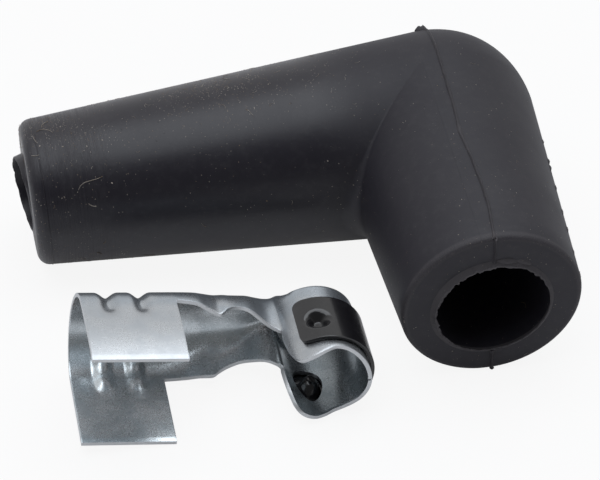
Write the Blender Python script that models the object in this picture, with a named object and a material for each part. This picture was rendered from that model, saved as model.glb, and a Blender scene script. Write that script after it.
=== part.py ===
"""Right-angle spark plug cap, laid out in its three pieces on a level surface.

The moulded rubber boot lies on its side. In front of it lies the folded sheet steel terminal that goes inside it,
with the black spring clip that grips the plug's nut through two holes in the terminal's ring.
Lengths are in metres and +Z is up. The boot's own frame has its elbow at the origin, the wire leg along -X and the
plug leg along -Y. The terminal's own frame has +X towards the crimp barrel, +Y towards its open side, +Z up.
"""

import math

import bmesh
import bpy
from mathutils import Matrix, Vector

# Boot, outside
ELBOW_RADIUS = 0.0092
WIRE_LEG_LENGTH = 0.0369
WIRE_END_RADIUS = 0.00655
WIRE_END_ROUNDING = 0.0011
PLUG_LEG_LENGTH = 0.0235
PLUG_END_RADIUS = 0.00785
MOUTH_TILT = math.radians(2.5)
CROTCH_FILLET = 0.002
CROTCH_FILLET_LEAST = 0.0003
CROTCH_MIDDLE = math.radians(-12)
CROTCH_SPREAD = math.radians(60)
DOME_BULGE = 0.02
RIDGE_HEIGHT = 0.00013
RIDGE_WIDTH = 0.0002
RIDGE_ROOT = 0.0006
RIDGE_STOP = 0.0003

# Boot, inside
PLUG_BORE_RADIUS = 0.00515
PLUG_BORE_DROP = 0.00024
WIRE_BORE_RADIUS = 0.0033
COLLAR_WALL = 0.00025
COLLAR_HEIGHT = 0.0009
COLLAR_LEAST = 0.00008

# Terminal
SHEET = 0.00045
BARREL_LENGTH = 0.0081
BARREL_DEPTH = 0.01115
BARREL_MOUTH = 0.00475
BARREL_SQUARENESS = 1.85
SHOULDER_HEIGHT = 0.00355
SHOULDER_HALF_WIDTH = 0.0044
STRAP_LENGTH = 0.0094
NECK_HALF_WIDTH = 0.00185
NECK_HEIGHT = 0.0053
NECK_SQUARENESS = 4.5
RING_RADIUS = 0.0036
RING_FRONT = 0.00115
RING_REAR = 0.0094
SEAM_GAP = 0.0002
GROOVE_DEPTH = 0.0005
GROOVE_WIDTH = 0.0019
GROOVE_PITCH = 0.0028
GROOVE_INSET = 0.0024
GRIP_HOLE_RADIUS = 0.0014
GRIP_ANGLE = math.radians(98)
GRIP_DEPTH = 0.0046
SET_ANGLE = math.radians(6.3)
SET_START = 0.003
SET_LENGTH = 0.006

# Spring clip
CLIP_CLEARANCE = 0.0001
CLIP_SHEET = 0.0003
CLIP_FRONT = 0.0022
CLIP_WIDTH = 0.0052
CLIP_REACH = math.radians(121)
CLIP_CORNER = 0.0008
DIMPLE_RADIUS = 0.00125
DIMPLE_DEPTH = 0.00105

# Where the terminal lies, seen from the boot's elbow
TERMINAL_X = -0.02714
TERMINAL_Y = -0.02816
TERMINAL_YAW = math.radians(0.1)
TERMINAL_LEAN = math.radians(1.0)

# How finely the curved surfaces are divided
BOOT_STRINGS = 64
ELBOW_STEPS = 8
ROUNDING_STEPS = 4
BORE_SIDES = 48
HOLE_SIDES = 24
WING_STEPS = 5
CHANNEL_STEPS = 20
CHEEK_STEPS = 6
CHEEK_FRONT_STEPS = 4
STRAP_ROWS = 16
RING_ROWS = 18
RING_ROW_GROWTH = 1.35

# The strap between barrel and neck: share of its length, and shares of the way from the shoulder's height,
# half width and squareness to the neck's
STRAP_SHAPE = (
    (0.0, 0.0, 0.0, 0.0),
    (0.2, 0.07, 0.11, 0.1),
    (0.31, 0.25, 0.28, 0.25),
    (0.4, 0.42, 0.39, 0.35),
    (0.44, 0.36, 0.385, 0.32),
    (0.49, 0.08, 0.38, 0.25),
    (0.56, -0.15, 0.43, 0.2),
    (0.66, -0.26, 0.54, 0.28),
    (0.72, -0.2, 0.62, 0.41),
    (0.78, -0.02, 0.73, 0.56),
    (0.86, 0.3, 0.9, 0.8),
    (0.93, 0.65, 0.98, 0.92),
    (1.0, 1.0, 0.97, 1.0),
)
# The edges of the ring's cheeks: degrees from the seam, how far the front edge stands back, and how far the
# rear edge reaches further back
CHEEK_EDGES = (
    (0.0, -0.0002, 0.0),
    (20.0, -0.00005, 0.0),
    (36.0, 0.0001, 0.0),
    (52.0, 0.0003, 0.0),
    (66.0, 0.0004, 0.0),
    (79.0, 0.00033, 0.0),
    (92.0, -0.00005, 0.0),
    (106.0, -0.0004, 0.0),
    (120.0, -0.00045, 0.0),
    (131.0, -0.0002, 0.0001),
    (139.0, 0.0005, 0.0003),
    (144.0, 0.0013, 0.0004),
    (147.0, 0.0022, 0.0004),
    (149.0, 0.0036, 0.00045),
)


def clear_scene():
    """Remove what the start-up file holds."""
    for item in list(bpy.data.objects):
        bpy.data.objects.remove(item, do_unlink=True)


def make_material(name, color, roughness, metallic):
    """A plain Principled material."""
    material = bpy.data.materials.new(name)
    material.use_nodes = True
    shader = material.node_tree.nodes["Principled BSDF"]
    shader.inputs["Base Color"].default_value = (*color, 1.0)
    shader.inputs["Roughness"].default_value = roughness
    shader.inputs["Metallic"].default_value = metallic
    material.diffuse_color = (*color, 1.0)
    return material


def add_object(name, mesh, material=None):
    """Link a mesh as an object, with its material."""
    item = bpy.data.objects.new(name, mesh)
    bpy.context.collection.objects.link(item)
    if material is not None:
        mesh.materials.append(material)
    return item


def finish_mesh(bm, name, outward=True):
    """Turn a bmesh into a mesh shaded smooth, with its faces pointing out where it is closed."""
    bmesh.ops.remove_doubles(bm, verts=bm.verts, dist=0.000001)
    if outward:
        bmesh.ops.recalc_face_normals(bm, faces=bm.faces)
    mesh = bpy.data.meshes.new(name)
    bm.to_mesh(mesh)
    bm.free()
    mesh.shade_smooth()
    mesh.set_sharp_from_angle(angle=math.radians(35))
    return mesh


def add_cutter(name, mesh):
    """A guide object that only a Boolean uses."""
    item = add_object(name, mesh)
    item.display_type = "WIRE"
    item.hide_render = True
    return item


def add_boolean(item, tool, operation):
    """Cut or join another mesh."""
    modifier = item.modifiers.new(operation.title() + " " + tool.name, "BOOLEAN")
    modifier.operation = operation
    modifier.object = tool
    modifier.solver = "EXACT"


def grid_faces(bm, rows, closed=False):
    """Quads between neighbouring rows of vertices."""
    for row, after in zip(rows, rows[1:] + rows[:1] if closed else rows[1:]):
        for k in range(len(row) - 1):
            corners = [row[k], row[k + 1], after[k + 1], after[k]]
            bm.faces.new(corners)


def turned_mesh(name, profile, sides):
    """A solid turned about +Z from (radius, height) pairs that start and end on the axis."""
    bm = bmesh.new()
    rows = []
    for k in range(sides):
        angle = 2 * math.pi * k / sides
        rows.append([bm.verts.new((r * math.cos(angle), r * math.sin(angle), h)) for r, h in profile])
    grid_faces(bm, rows, closed=True)
    bmesh.ops.remove_doubles(bm, verts=bm.verts, dist=0.000001)
    bmesh.ops.dissolve_degenerate(bm, dist=0.0000001, edges=bm.edges)
    return finish_mesh(bm, name)


def blend_table(table, at):
    """Values of a table read along its first column, on a smooth curve through its points."""
    k = 0
    while k < len(table) - 2 and at > table[k + 1][0]:
        k += 1
    before, low, high, after = (table[min(max(k + n, 0), len(table) - 1)] for n in (-1, 0, 1, 2))
    span = high[0] - low[0]
    t = (at - low[0]) / span
    values = []
    for column in range(1, len(low)):
        slope_low = (high[column] - before[column]) / max(high[0] - before[0], 1e-9) * span
        slope_high = (after[column] - low[column]) / max(after[0] - low[0], 1e-9) * span
        a = 2 * (low[column] - high[column]) + slope_low + slope_high
        b = 3 * (high[column] - low[column]) - 2 * slope_low - slope_high
        values.append(((a * t + b) * t + slope_low) * t + low[column])
    return values


# Boot


def wire_leg_radius(distance):
    """Radius of the wire leg at a distance from the elbow."""
    return ELBOW_RADIUS + (WIRE_END_RADIUS - ELBOW_RADIUS) * distance / (WIRE_LEG_LENGTH - WIRE_END_ROUNDING)


def plug_leg_radius(distance):
    """Radius of the plug leg at a distance from the elbow."""
    return ELBOW_RADIUS + (PLUG_END_RADIUS - ELBOW_RADIUS) * distance / PLUG_LEG_LENGTH


def wire_leg_point(distance, angle):
    """Point on the wire leg; the angle runs from the crotch over the top to the outer side."""
    radius = wire_leg_radius(distance)
    return Vector((-distance, -radius * math.cos(angle), radius * math.sin(angle)))


def crotch_radius(angle):
    """Radius of the fillet between the legs: widest in the crotch, and crisp towards top and bottom."""
    share = max(0.0, 1 - abs(angle - CROTCH_MIDDLE) / CROTCH_SPREAD)
    return CROTCH_FILLET_LEAST + (CROTCH_FILLET - CROTCH_FILLET_LEAST) * share * share * (3 - 2 * share)


def crotch_arc(angle):
    """Points of the rolling-ball fillet between the two legs, for one line along the wire leg."""
    wire_taper = math.atan((ELBOW_RADIUS - WIRE_END_RADIUS) / (WIRE_LEG_LENGTH - WIRE_END_ROUNDING))
    plug_taper = math.atan((ELBOW_RADIUS - PLUG_END_RADIUS) / PLUG_LEG_LENGTH)
    normal = Vector((-math.sin(wire_taper), -math.cos(angle) * math.cos(wire_taper),
                     math.sin(angle) * math.cos(wire_taper)))
    fillet = crotch_radius(math.remainder(angle, 2 * math.pi))
    near, far = 0.0, WIRE_LEG_LENGTH / 2
    for _ in range(40):
        distance = (near + far) / 2
        centre = wire_leg_point(distance, angle) + normal * fillet
        reach = math.hypot(centre.x, centre.z)
        if (reach - plug_leg_radius(-centre.y)) * math.cos(plug_taper) < fillet:
            near = distance
        else:
            far = distance
    outward = Vector((centre.x / reach * math.cos(plug_taper), -math.sin(plug_taper),
                      centre.z / reach * math.cos(plug_taper)))
    start, end = -normal, -outward
    return [centre + start.slerp(end, k / ELBOW_STEPS) * fillet for k in range(ELBOW_STEPS + 1)]


def dome_arc(angle):
    """Points over the round back of the elbow, at one height."""
    radius = -ELBOW_RADIUS * math.cos(angle)
    height = ELBOW_RADIUS * math.sin(angle)
    points = []
    for k in range(ELBOW_STEPS + 1):
        turn = math.pi / 2 * k / ELBOW_STEPS
        reach = radius * (1 + DOME_BULGE * math.sin(2 * turn) ** 2)
        points.append(Vector((reach * math.sin(turn), reach * math.cos(turn), height)))
    return points


def boot_string(angle):
    """One line of points from the wire end, over the elbow, to the mouth."""
    points = []
    for k in range(ROUNDING_STEPS + 1):
        turn = math.pi / 2 * (1 - k / ROUNDING_STEPS)
        radius = WIRE_END_RADIUS - WIRE_END_ROUNDING * (1 - math.cos(turn))
        distance = WIRE_LEG_LENGTH - WIRE_END_ROUNDING * (1 - math.sin(turn))
        points.append(Vector((-distance, -radius * math.cos(angle), radius * math.sin(angle))))
    middle = crotch_arc(angle) if math.cos(angle) > 0 else dome_arc(angle)
    if abs(math.cos(angle)) < 1e-6:
        middle = [Vector((0, 0, math.copysign(ELBOW_RADIUS, math.sin(angle))))] * (ELBOW_STEPS + 1)
    points += middle
    side = math.atan2(middle[-1].z, -middle[-1].x) if abs(math.cos(angle)) > 1e-6 else angle
    distance = PLUG_LEG_LENGTH
    for _ in range(6):
        height = plug_leg_radius(distance) * math.sin(side)
        distance = PLUG_LEG_LENGTH + math.tan(MOUTH_TILT) * height
    radius = plug_leg_radius(distance)
    points.append(Vector((-radius * math.cos(side), -distance, radius * math.sin(side))))
    return points


def boot_outside():
    """The closed outer form of the boot, with flat ends."""
    bm = bmesh.new()
    rows = []
    for k in range(BOOT_STRINGS):
        angle = 2 * math.pi * k / BOOT_STRINGS
        rows.append([bm.verts.new(point) for point in boot_string(angle)])
    for row, after in zip(rows, rows[1:] + rows[:1]):
        for k in range(len(row) - 1):
            bm.faces.new([row[k], row[k + 1], after[k + 1], after[k]])
    bm.faces.new([row[0] for row in rows])
    bm.faces.new([row[-1] for row in reversed(rows)])
    bmesh.ops.remove_doubles(bm, verts=bm.verts, dist=0.000001)
    bmesh.ops.dissolve_degenerate(bm, dist=0.0000001, edges=bm.edges)
    return finish_mesh(bm, "boot")


def parting_ridge():
    """The thin line where the two halves of the mould met, as a plate let into the boot's surface."""
    taper = math.atan((ELBOW_RADIUS - PLUG_END_RADIUS) / PLUG_LEG_LENGTH)

    def mouth_end(side):
        end = PLUG_LEG_LENGTH + side * math.tan(MOUTH_TILT) * PLUG_END_RADIUS - RIDGE_STOP
        return -end, side * plug_leg_radius(end), -math.sin(taper), side * math.cos(taper)

    path = [mouth_end(1)]
    steps = 24
    for k in range(steps + 1):
        angle = math.pi / 2 - math.pi * k / steps
        across, up = math.cos(angle), math.sin(angle)
        path.append((ELBOW_RADIUS * across, ELBOW_RADIUS * up, across, up))
    path.append(mouth_end(-1))
    bm = bmesh.new()
    rows = []
    for y, z, normal_y, normal_z in path:
        row = []
        for x, offset in ((-1, -RIDGE_ROOT), (1, -RIDGE_ROOT), (1, RIDGE_HEIGHT), (-1, RIDGE_HEIGHT)):
            row.append(bm.verts.new((x * RIDGE_WIDTH / 2, y + normal_y * offset, z + normal_z * offset)))
        rows.append(row + row[:1])
    grid_faces(bm, rows)
    bm.faces.new(rows[0][:4])
    bm.faces.new(list(reversed(rows[-1][:4])))
    return finish_mesh(bm, "parting_ridge_form")


def collar_form():
    """The thin lip left round the wire hole, higher on the upper side."""
    radius = WIRE_BORE_RADIUS + COLLAR_WALL
    bm = bmesh.new()
    rows = []
    for k in range(BORE_SIDES):
        angle = 2 * math.pi * k / BORE_SIDES
        height = COLLAR_LEAST + (COLLAR_HEIGHT - COLLAR_LEAST) * (1 + math.sin(angle)) / 2
        y, z = radius * math.cos(angle), radius * math.sin(angle)
        rows.append([bm.verts.new((-WIRE_LEG_LENGTH + WIRE_END_ROUNDING, y, z)),
                     bm.verts.new((-WIRE_LEG_LENGTH - height, y, z))])
    grid_faces(bm, rows, closed=True)
    bm.faces.new([row[0] for row in rows])
    bm.faces.new([row[1] for row in reversed(rows)])
    return finish_mesh(bm, "collar_form")


def bore_forms():
    """Cutters for the plug bore, with its round end, and for the wire bore."""
    steps = 8
    overrun = ELBOW_RADIUS / 2
    profile = [(0.0, -PLUG_LEG_LENGTH - overrun), (PLUG_BORE_RADIUS, -PLUG_LEG_LENGTH - overrun)]
    for k in range(steps + 1):
        turn = math.pi / 2 * k / steps
        profile.append((PLUG_BORE_RADIUS * math.cos(turn), PLUG_BORE_RADIUS * math.sin(turn)))
    plug = add_cutter("plug_bore_form", turned_mesh("plug_bore_form", profile, BORE_SIDES))
    plug.matrix_world = (Matrix.Translation((0, 0, -PLUG_BORE_DROP)) @ Matrix.Rotation(-math.pi / 2, 4, "X"))
    length = WIRE_LEG_LENGTH + COLLAR_HEIGHT + overrun
    profile = [(0.0, 0.0), (WIRE_BORE_RADIUS, 0.0), (WIRE_BORE_RADIUS, length), (0.0, length)]
    wire = add_cutter("wire_bore_form", turned_mesh("wire_bore_form", profile, BORE_SIDES))
    wire.matrix_world = Matrix.Rotation(-math.pi / 2, 4, "Y")
    return plug, wire


def build_boot(material):
    """The boot with its ridge, collar and two bores, in its own frame."""
    boot = add_object("boot", boot_outside(), material)
    plug_bore, wire_bore = bore_forms()
    add_boolean(boot, add_cutter("parting_ridge_form", parting_ridge()), "UNION")
    add_boolean(boot, add_cutter("collar_form", collar_form()), "UNION")
    add_boolean(boot, plug_bore, "DIFFERENCE")
    add_boolean(boot, wire_bore, "DIFFERENCE")
    return boot


def boot_rest():
    """Rotation that lays the boot's side on the level: its elbow and both ends touch."""
    slope_x = (ELBOW_RADIUS - WIRE_END_RADIUS) / (WIRE_LEG_LENGTH - WIRE_END_ROUNDING)
    slope_y = (ELBOW_RADIUS - PLUG_END_RADIUS) / PLUG_LEG_LENGTH
    up = Vector((slope_x, slope_y, 1.0)).normalized()
    right = (Vector((1, 0, 0)) - up * up.x).normalized()
    return Matrix((right, up.cross(right), up)).to_4x4()


# Terminal


def channel_points(height, half_width, squareness, steps):
    """Evenly spaced (y, z) points of the channel's curve, from its upper edge round the web to the lower."""
    dense = 240
    curve = []
    for k in range(dense + 1):
        turn = math.pi * k / dense
        across = math.copysign(abs(math.cos(turn)) ** (2 / squareness), math.cos(turn))
        down = math.sin(turn) ** (2 / squareness) if 0 < k < dense else 0.0
        curve.append(Vector((-BARREL_DEPTH + height * (1 - down), half_width * across)))
    lengths = [0.0]
    for a, b in zip(curve, curve[1:]):
        lengths.append(lengths[-1] + (b - a).length)
    points = []
    k = 0
    for n in range(steps + 1):
        target = lengths[-1] * n / steps
        while k < dense - 1 and lengths[k + 1] < target:
            k += 1
        t = (target - lengths[k]) / (lengths[k + 1] - lengths[k])
        points.append(curve[k].lerp(curve[k + 1], t))
    return points


def strap_station(share):
    """Height, half width and squareness of the strap at a share of its length."""
    height, width, square = blend_table(STRAP_SHAPE, share)
    return (SHOULDER_HEIGHT + (NECK_HEIGHT - SHOULDER_HEIGHT) * height,
            SHOULDER_HALF_WIDTH + (NECK_HALF_WIDTH - SHOULDER_HALF_WIDTH) * width,
            BARREL_SQUARENESS + (NECK_SQUARENESS - BARREL_SQUARENESS) * square)


def groove_centres():
    """Places of the two pressed grooves along the barrel."""
    return [BARREL_LENGTH - GROOVE_INSET - GROOVE_PITCH * k for k in range(2)]


def barrel_rows():
    """Places of the barrel's rows, closer together across the grooves."""
    rows = {BARREL_LENGTH, 0.0}
    for centre in groove_centres():
        for share in (-1.0, -0.65, -0.33, 0.0, 0.33, 0.65, 1.0):
            rows.add(centre + share * GROOVE_WIDTH / 2)
    ordered = sorted(rows, reverse=True)
    middles = [(a + b) / 2 for a, b in zip(ordered, ordered[1:]) if a - b > GROOVE_WIDTH / 3]
    return sorted(rows | set(middles), reverse=True)


def barrel_section(place):
    """(y, z) points of the crimp barrel at one place, with its grooves pressed in."""
    channel = channel_points(SHOULDER_HEIGHT, SHOULDER_HALF_WIDTH, BARREL_SQUARENESS, CHANNEL_STEPS)
    shoulder = channel[0]
    wing = [Vector((0, BARREL_MOUTH)).lerp(shoulder, k / WING_STEPS) for k in range(WING_STEPS)]
    points = wing + channel + [Vector((p.x, -p.y)) for p in reversed(wing)]
    press = 0.0
    for centre in groove_centres():
        share = abs(place - centre) / (GROOVE_WIDTH / 2)
        if share < 1:
            press = GROOVE_DEPTH * (1 + math.cos(math.pi * share)) / 2
    middle = Vector((-BARREL_DEPTH + SHOULDER_HALF_WIDTH, 0))
    first, last = WING_STEPS, len(points) - 1 - WING_STEPS
    moved = []
    for k, point in enumerate(points):
        inside = first <= k <= last
        moved.append(point + (middle - point).normalized() * press if inside else point)
    return moved


def neck_angle():
    """Angle from the seam at which the ring leaves the neck."""
    return math.pi - math.asin(NECK_HALF_WIDTH / RING_RADIUS)


def ring_centre():
    """Place of the ring's axis along the terminal."""
    return -STRAP_LENGTH + RING_RADIUS * math.cos(neck_angle())


def set_matrix():
    """Where the small bend in the strap carries everything beyond it."""
    radius = SET_LENGTH / SET_ANGLE
    start = Matrix.Translation((-SET_START, 0, radius))
    return start @ Matrix.Rotation(SET_ANGLE, 4, "Y") @ Matrix.Translation((SET_START + SET_LENGTH, 0, -radius))


def apply_set(point):
    """Carry a point of the straight terminal to where the bend in the strap puts it."""
    run = -SET_START - point.x
    if run <= 0:
        return point
    if run >= SET_LENGTH:
        return set_matrix() @ point
    radius = SET_LENGTH / SET_ANGLE
    turn = run / radius
    reach = point.z - radius
    return Vector((-SET_START + reach * math.sin(turn), point.y, radius + reach * math.cos(turn)))


def terminal_sheet():
    """The middle surface of the folded sheet: barrel, strap and the two cheeks of the ring."""
    bm = bmesh.new()

    def row_of(place, section):
        return [bm.verts.new(apply_set(Vector((place, p.x, p.y)))) for p in section]

    barrel = [row_of(place, barrel_section(place)) for place in barrel_rows()]
    grid_faces(bm, barrel)
    strap = [barrel[-1][WING_STEPS:WING_STEPS + CHANNEL_STEPS + 1]]
    for k in range(1, STRAP_ROWS + 1):
        share = k / STRAP_ROWS
        strap.append(row_of(-share * STRAP_LENGTH, channel_points(*strap_station(share), CHANNEL_STEPS)))
    grid_faces(bm, strap)
    shoulder = BARREL_DEPTH - NECK_HEIGHT
    last = math.asin(SEAM_GAP / 2 / RING_RADIUS)
    for side in (1, -1):
        neck = strap[-1] if side == 1 else list(reversed(strap[-1]))
        rows = []
        for k in range(RING_ROWS + 1):
            angle = neck_angle() + (last - neck_angle()) * (k / RING_ROWS) ** RING_ROW_GROWTH
            stand_back, reach_back = blend_table(CHEEK_EDGES, math.degrees(angle))
            edge, rear = RING_FRONT + stand_back, RING_REAR + reach_back
            x = ring_centre() - RING_RADIUS * math.cos(angle)
            z = side * RING_RADIUS * math.sin(angle)
            depths = [edge + (shoulder - edge) * n / CHEEK_FRONT_STEPS for n in range(CHEEK_FRONT_STEPS)]
            depths += [shoulder + (rear - shoulder) * n / CHEEK_STEPS for n in range(CHEEK_STEPS + 1)]
            row = [bm.verts.new(apply_set(Vector((x, -depth, z)))) for depth in depths]
            if k == 0:
                for n in range(CHEEK_STEPS + 1):
                    bm.verts.remove(row[CHEEK_FRONT_STEPS + n])
                    row[CHEEK_FRONT_STEPS + n] = neck[n]
            rows.append(row)
        grid_faces(bm, rows)
    bmesh.ops.recalc_face_normals(bm, faces=bm.faces)
    return finish_mesh(bm, "terminal", outward=False)


def build_terminal(material):
    """The terminal at its sheet thickness, with the two grip holes."""
    terminal = add_object("terminal", terminal_sheet(), material)
    thicken = terminal.modifiers.new("Sheet", "SOLIDIFY")
    thicken.thickness = SHEET
    thicken.offset = 0.0
    thicken.use_even_offset = True
    half = RING_RADIUS + SHEET * 2
    profile = [(0.0, -half), (GRIP_HOLE_RADIUS, -half), (GRIP_HOLE_RADIUS, half), (0.0, half)]
    drill = add_cutter("grip_hole_form", turned_mesh("grip_hole_form", profile, HOLE_SIDES))
    place = Matrix.Translation((ring_centre() - RING_RADIUS * math.cos(GRIP_ANGLE), -GRIP_DEPTH, 0))
    drill.matrix_world = set_matrix() @ place
    add_boolean(terminal, drill, "DIFFERENCE")
    return terminal, drill


# Spring clip


def clip_radius():
    """Radius of the middle of the clip's band."""
    return RING_RADIUS + SHEET / 2 + CLIP_CLEARANCE + CLIP_SHEET / 2


def clip_steps():
    """Angles and depths of the clip's grid, closer together round the dimples."""
    radius = clip_radius()
    spread = DIMPLE_RADIUS / radius * 1.1
    dense = [GRIP_ANGLE + spread * (n / 5 - 1) for n in range(11)]
    low = [(GRIP_ANGLE - spread) * n / 7 for n in range(7)]
    high = [GRIP_ANGLE + spread + (CLIP_REACH - GRIP_ANGLE - spread) * n / 2 for n in (1, 2)]
    half = low + dense + high
    angles = [-a for a in reversed(half[1:])] + half
    centre = GRIP_DEPTH - CLIP_FRONT
    inner = [centre + DIMPLE_RADIUS * 1.1 * (n / 5 - 1) for n in range(11)]
    front = [inner[0] * n / 2 for n in range(2)]
    back = [inner[-1] + (CLIP_WIDTH - inner[-1]) * n / 2 for n in (1, 2)]
    return angles, front + inner + back


def corner_inset(across):
    """How far the clip's rounded corners pull its ends back, at a distance across its width."""
    into = CLIP_CORNER - min(across, CLIP_WIDTH - across)
    if into <= 0:
        return 0.0
    return CLIP_CORNER - math.sqrt(max(CLIP_CORNER ** 2 - into ** 2, 0.0))


def clip_sheet():
    """The middle surface of the band, with its two dimples pressed inwards."""
    radius = clip_radius()
    angles, widths = clip_steps()
    bm = bmesh.new()
    rows = []
    for angle in angles:
        row = []
        for across in widths:
            limit = CLIP_REACH - corner_inset(across) / radius
            turned = math.copysign(min(abs(angle), limit), angle)
            reach = math.hypot((abs(turned) - GRIP_ANGLE) * radius, across + CLIP_FRONT - GRIP_DEPTH)
            press = 0.0
            if reach < DIMPLE_RADIUS:
                press = DIMPLE_DEPTH * (1 + math.cos(math.pi * reach / DIMPLE_RADIUS)) / 2
            r = radius - press
            row.append(bm.verts.new((-r * math.cos(turned), -CLIP_FRONT - across, r * math.sin(turned))))
        rows.append(row)
    grid_faces(bm, rows)
    bmesh.ops.remove_doubles(bm, verts=bm.verts, dist=0.000001)
    bmesh.ops.recalc_face_normals(bm, faces=bm.faces)
    return finish_mesh(bm, "spring_clip", outward=False)


def build_clip(material):
    """The spring clip, placed on the ring in the terminal's frame."""
    clip = add_object("spring_clip", clip_sheet(), material)
    thicken = clip.modifiers.new("Sheet", "SOLIDIFY")
    thicken.thickness = CLIP_SHEET
    thicken.offset = 0.0
    clip.matrix_world = set_matrix() @ Matrix.Translation((ring_centre(), 0, 0))
    return clip


# Laying out


def evaluated_points(item):
    """World positions of an object's vertices after its modifiers."""
    depsgraph = bpy.context.evaluated_depsgraph_get()
    evaluated = item.evaluated_get(depsgraph)
    mesh = evaluated.to_mesh()
    points = [evaluated.matrix_world @ vertex.co for vertex in mesh.vertices]
    evaluated.to_mesh_clear()
    return points


def terminal_turn(lean):
    """Rotation of the terminal: barrel end towards the wire end, leaning by an angle towards its ring."""
    level = Matrix.Rotation(math.pi + TERMINAL_YAW, 4, "Z")
    return Matrix.Rotation(TERMINAL_LEAN, 4, "X") @ level @ Matrix.Rotation(-lean, 4, "Y")


def resting_lean(terminal, clip):
    """The lean at which the terminal's wing and the clip both touch the level."""
    sheet_points = evaluated_points(terminal)
    clip_points = evaluated_points(clip)
    low, high = 0.0, math.radians(15)
    for _ in range(40):
        lean = (low + high) / 2
        turn = terminal_turn(lean)
        wing = min((turn @ point).z for point in sheet_points)
        band = min((turn @ point).z for point in clip_points)
        if wing < band:
            low = lean
        else:
            high = lean
    return lean


def main():
    """Build the three pieces and lay them out on the level, centred on the origin."""
    clear_scene()
    rubber = make_material("boot_rubber", (0.022, 0.022, 0.025), 0.5, 0.0)
    plated = make_material("plated_steel", (0.62, 0.64, 0.66), 0.32, 1.0)
    black = make_material("black_spring_steel", (0.03, 0.03, 0.033), 0.35, 0.6)

    boot = build_boot(rubber)
    terminal, drill = build_terminal(plated)
    clip = build_clip(black)

    layout = bpy.data.objects.new("layout", None)
    boot_place = bpy.data.objects.new("boot_place", None)
    terminal_place = bpy.data.objects.new("terminal_place", None)
    for empty in (layout, boot_place, terminal_place):
        bpy.context.collection.objects.link(empty)
    boot_place.parent = layout
    terminal_place.parent = layout
    bpy.context.view_layer.update()

    lean = resting_lean(terminal, clip)
    for item in (terminal, drill, clip):
        item.parent = terminal_place
    for item in [boot] + [modifier.object for modifier in boot.modifiers]:
        item.parent = boot_place
    boot_place.matrix_local = boot_rest()
    terminal_place.matrix_local = Matrix.Translation((TERMINAL_X, TERMINAL_Y, 0)) @ terminal_turn(lean)
    bpy.context.view_layer.update()

    for empty, pieces in ((boot_place, (boot,)), (terminal_place, (terminal, clip))):
        empty.location.z -= min(point.z for piece in pieces for point in evaluated_points(piece))
    bpy.context.view_layer.update()

    points = [point for piece in (boot, terminal, clip) for point in evaluated_points(piece)]
    layout.location.x = -(min(p.x for p in points) + max(p.x for p in points)) / 2
    layout.location.y = -(min(p.y for p in points) + max(p.y for p in points)) / 2
    bpy.context.view_layer.update()


main()
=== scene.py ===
"""Looks of a right-angle spark plug cap, laid out before assembly on a pale table.

The moulded rubber boot lies on its side. In front of it lie the folded terminal that goes inside it and the
black spring clip on the terminal's ring. Sizes are in millimetres in each piece's own frame. At the end each
piece is carried into the row frame, which is in metres.
"""

import logging
import math
from dataclasses import dataclass
from enum import Enum
from functools import partial
from typing import Any, Sequence

import bmesh
import bpy
import numpy as np
from mathutils import Matrix, Vector

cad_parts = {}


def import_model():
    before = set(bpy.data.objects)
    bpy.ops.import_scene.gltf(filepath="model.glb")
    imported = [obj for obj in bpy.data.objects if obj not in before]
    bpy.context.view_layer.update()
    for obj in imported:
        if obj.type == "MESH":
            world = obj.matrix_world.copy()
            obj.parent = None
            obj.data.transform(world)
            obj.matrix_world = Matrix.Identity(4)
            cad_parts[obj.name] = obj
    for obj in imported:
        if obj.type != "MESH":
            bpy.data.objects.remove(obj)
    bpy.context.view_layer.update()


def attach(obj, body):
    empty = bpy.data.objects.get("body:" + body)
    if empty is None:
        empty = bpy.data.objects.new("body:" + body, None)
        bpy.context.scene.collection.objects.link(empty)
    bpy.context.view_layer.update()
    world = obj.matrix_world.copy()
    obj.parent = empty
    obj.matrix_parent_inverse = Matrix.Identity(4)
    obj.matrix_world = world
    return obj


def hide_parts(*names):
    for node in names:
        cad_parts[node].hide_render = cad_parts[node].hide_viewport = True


LOG = logging.getLogger("spark_plug_cap")
MM = 0.001
BODY = "root"

Point = tuple[float, float, float]
Colour = tuple[float, float, float]


class Cut(Enum):
    """What a second solid does to the first."""

    JOIN = "UNION"
    REMOVE = "DIFFERENCE"


class Shape(Enum):
    """The two kinds of litter that lie on the rubber."""

    SPECK = "speck"
    FIBRE = "fibre"


# Places of the pieces in the row frame


@dataclass(frozen=True)
class Place:
    """Where a piece's own frame lies in the row frame.

    Args:
        origin: The frame's origin, in metres.
        turn: The frame's rotation.
    """

    origin: Point
    turn: Matrix

    def matrix(self) -> Matrix:
        """Millimetres in the piece's frame to metres in the row frame."""
        return Matrix.Translation(self.origin) @ self.turn.to_4x4() @ Matrix.Scale(MM, 4)


def boot_turn(slope_x: float, slope_y: float) -> Matrix:
    """Rotation that lays the boot on its elbow and both ends.

    Args:
        slope_x: Taper of the wire leg.
        slope_y: Taper of the plug leg.

    Returns:
        The 3x3 rotation.
    """
    up = Vector((slope_x, slope_y, 1.0)).normalized()
    right = (Vector((1, 0, 0)) - up * up.x).normalized()
    return Matrix((right, up.cross(right), up))


def terminal_turn(yaw: float, lean_front: float, lean_ring: float) -> Matrix:
    """Rotation of the terminal as it lies on its wing and clip.

    Args:
        yaw: Turn about the vertical, in degrees.
        lean_front: Lean towards the front, in degrees.
        lean_ring: Lean towards its ring, in degrees.

    Returns:
        The 3x3 rotation.
    """
    level = Matrix.Rotation(math.pi + math.radians(yaw), 3, "Z")
    front = Matrix.Rotation(math.radians(lean_front), 3, "X")
    return front @ level @ Matrix.Rotation(-math.radians(lean_ring), 3, "Y")


# Small tools for curves and meshes


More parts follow.
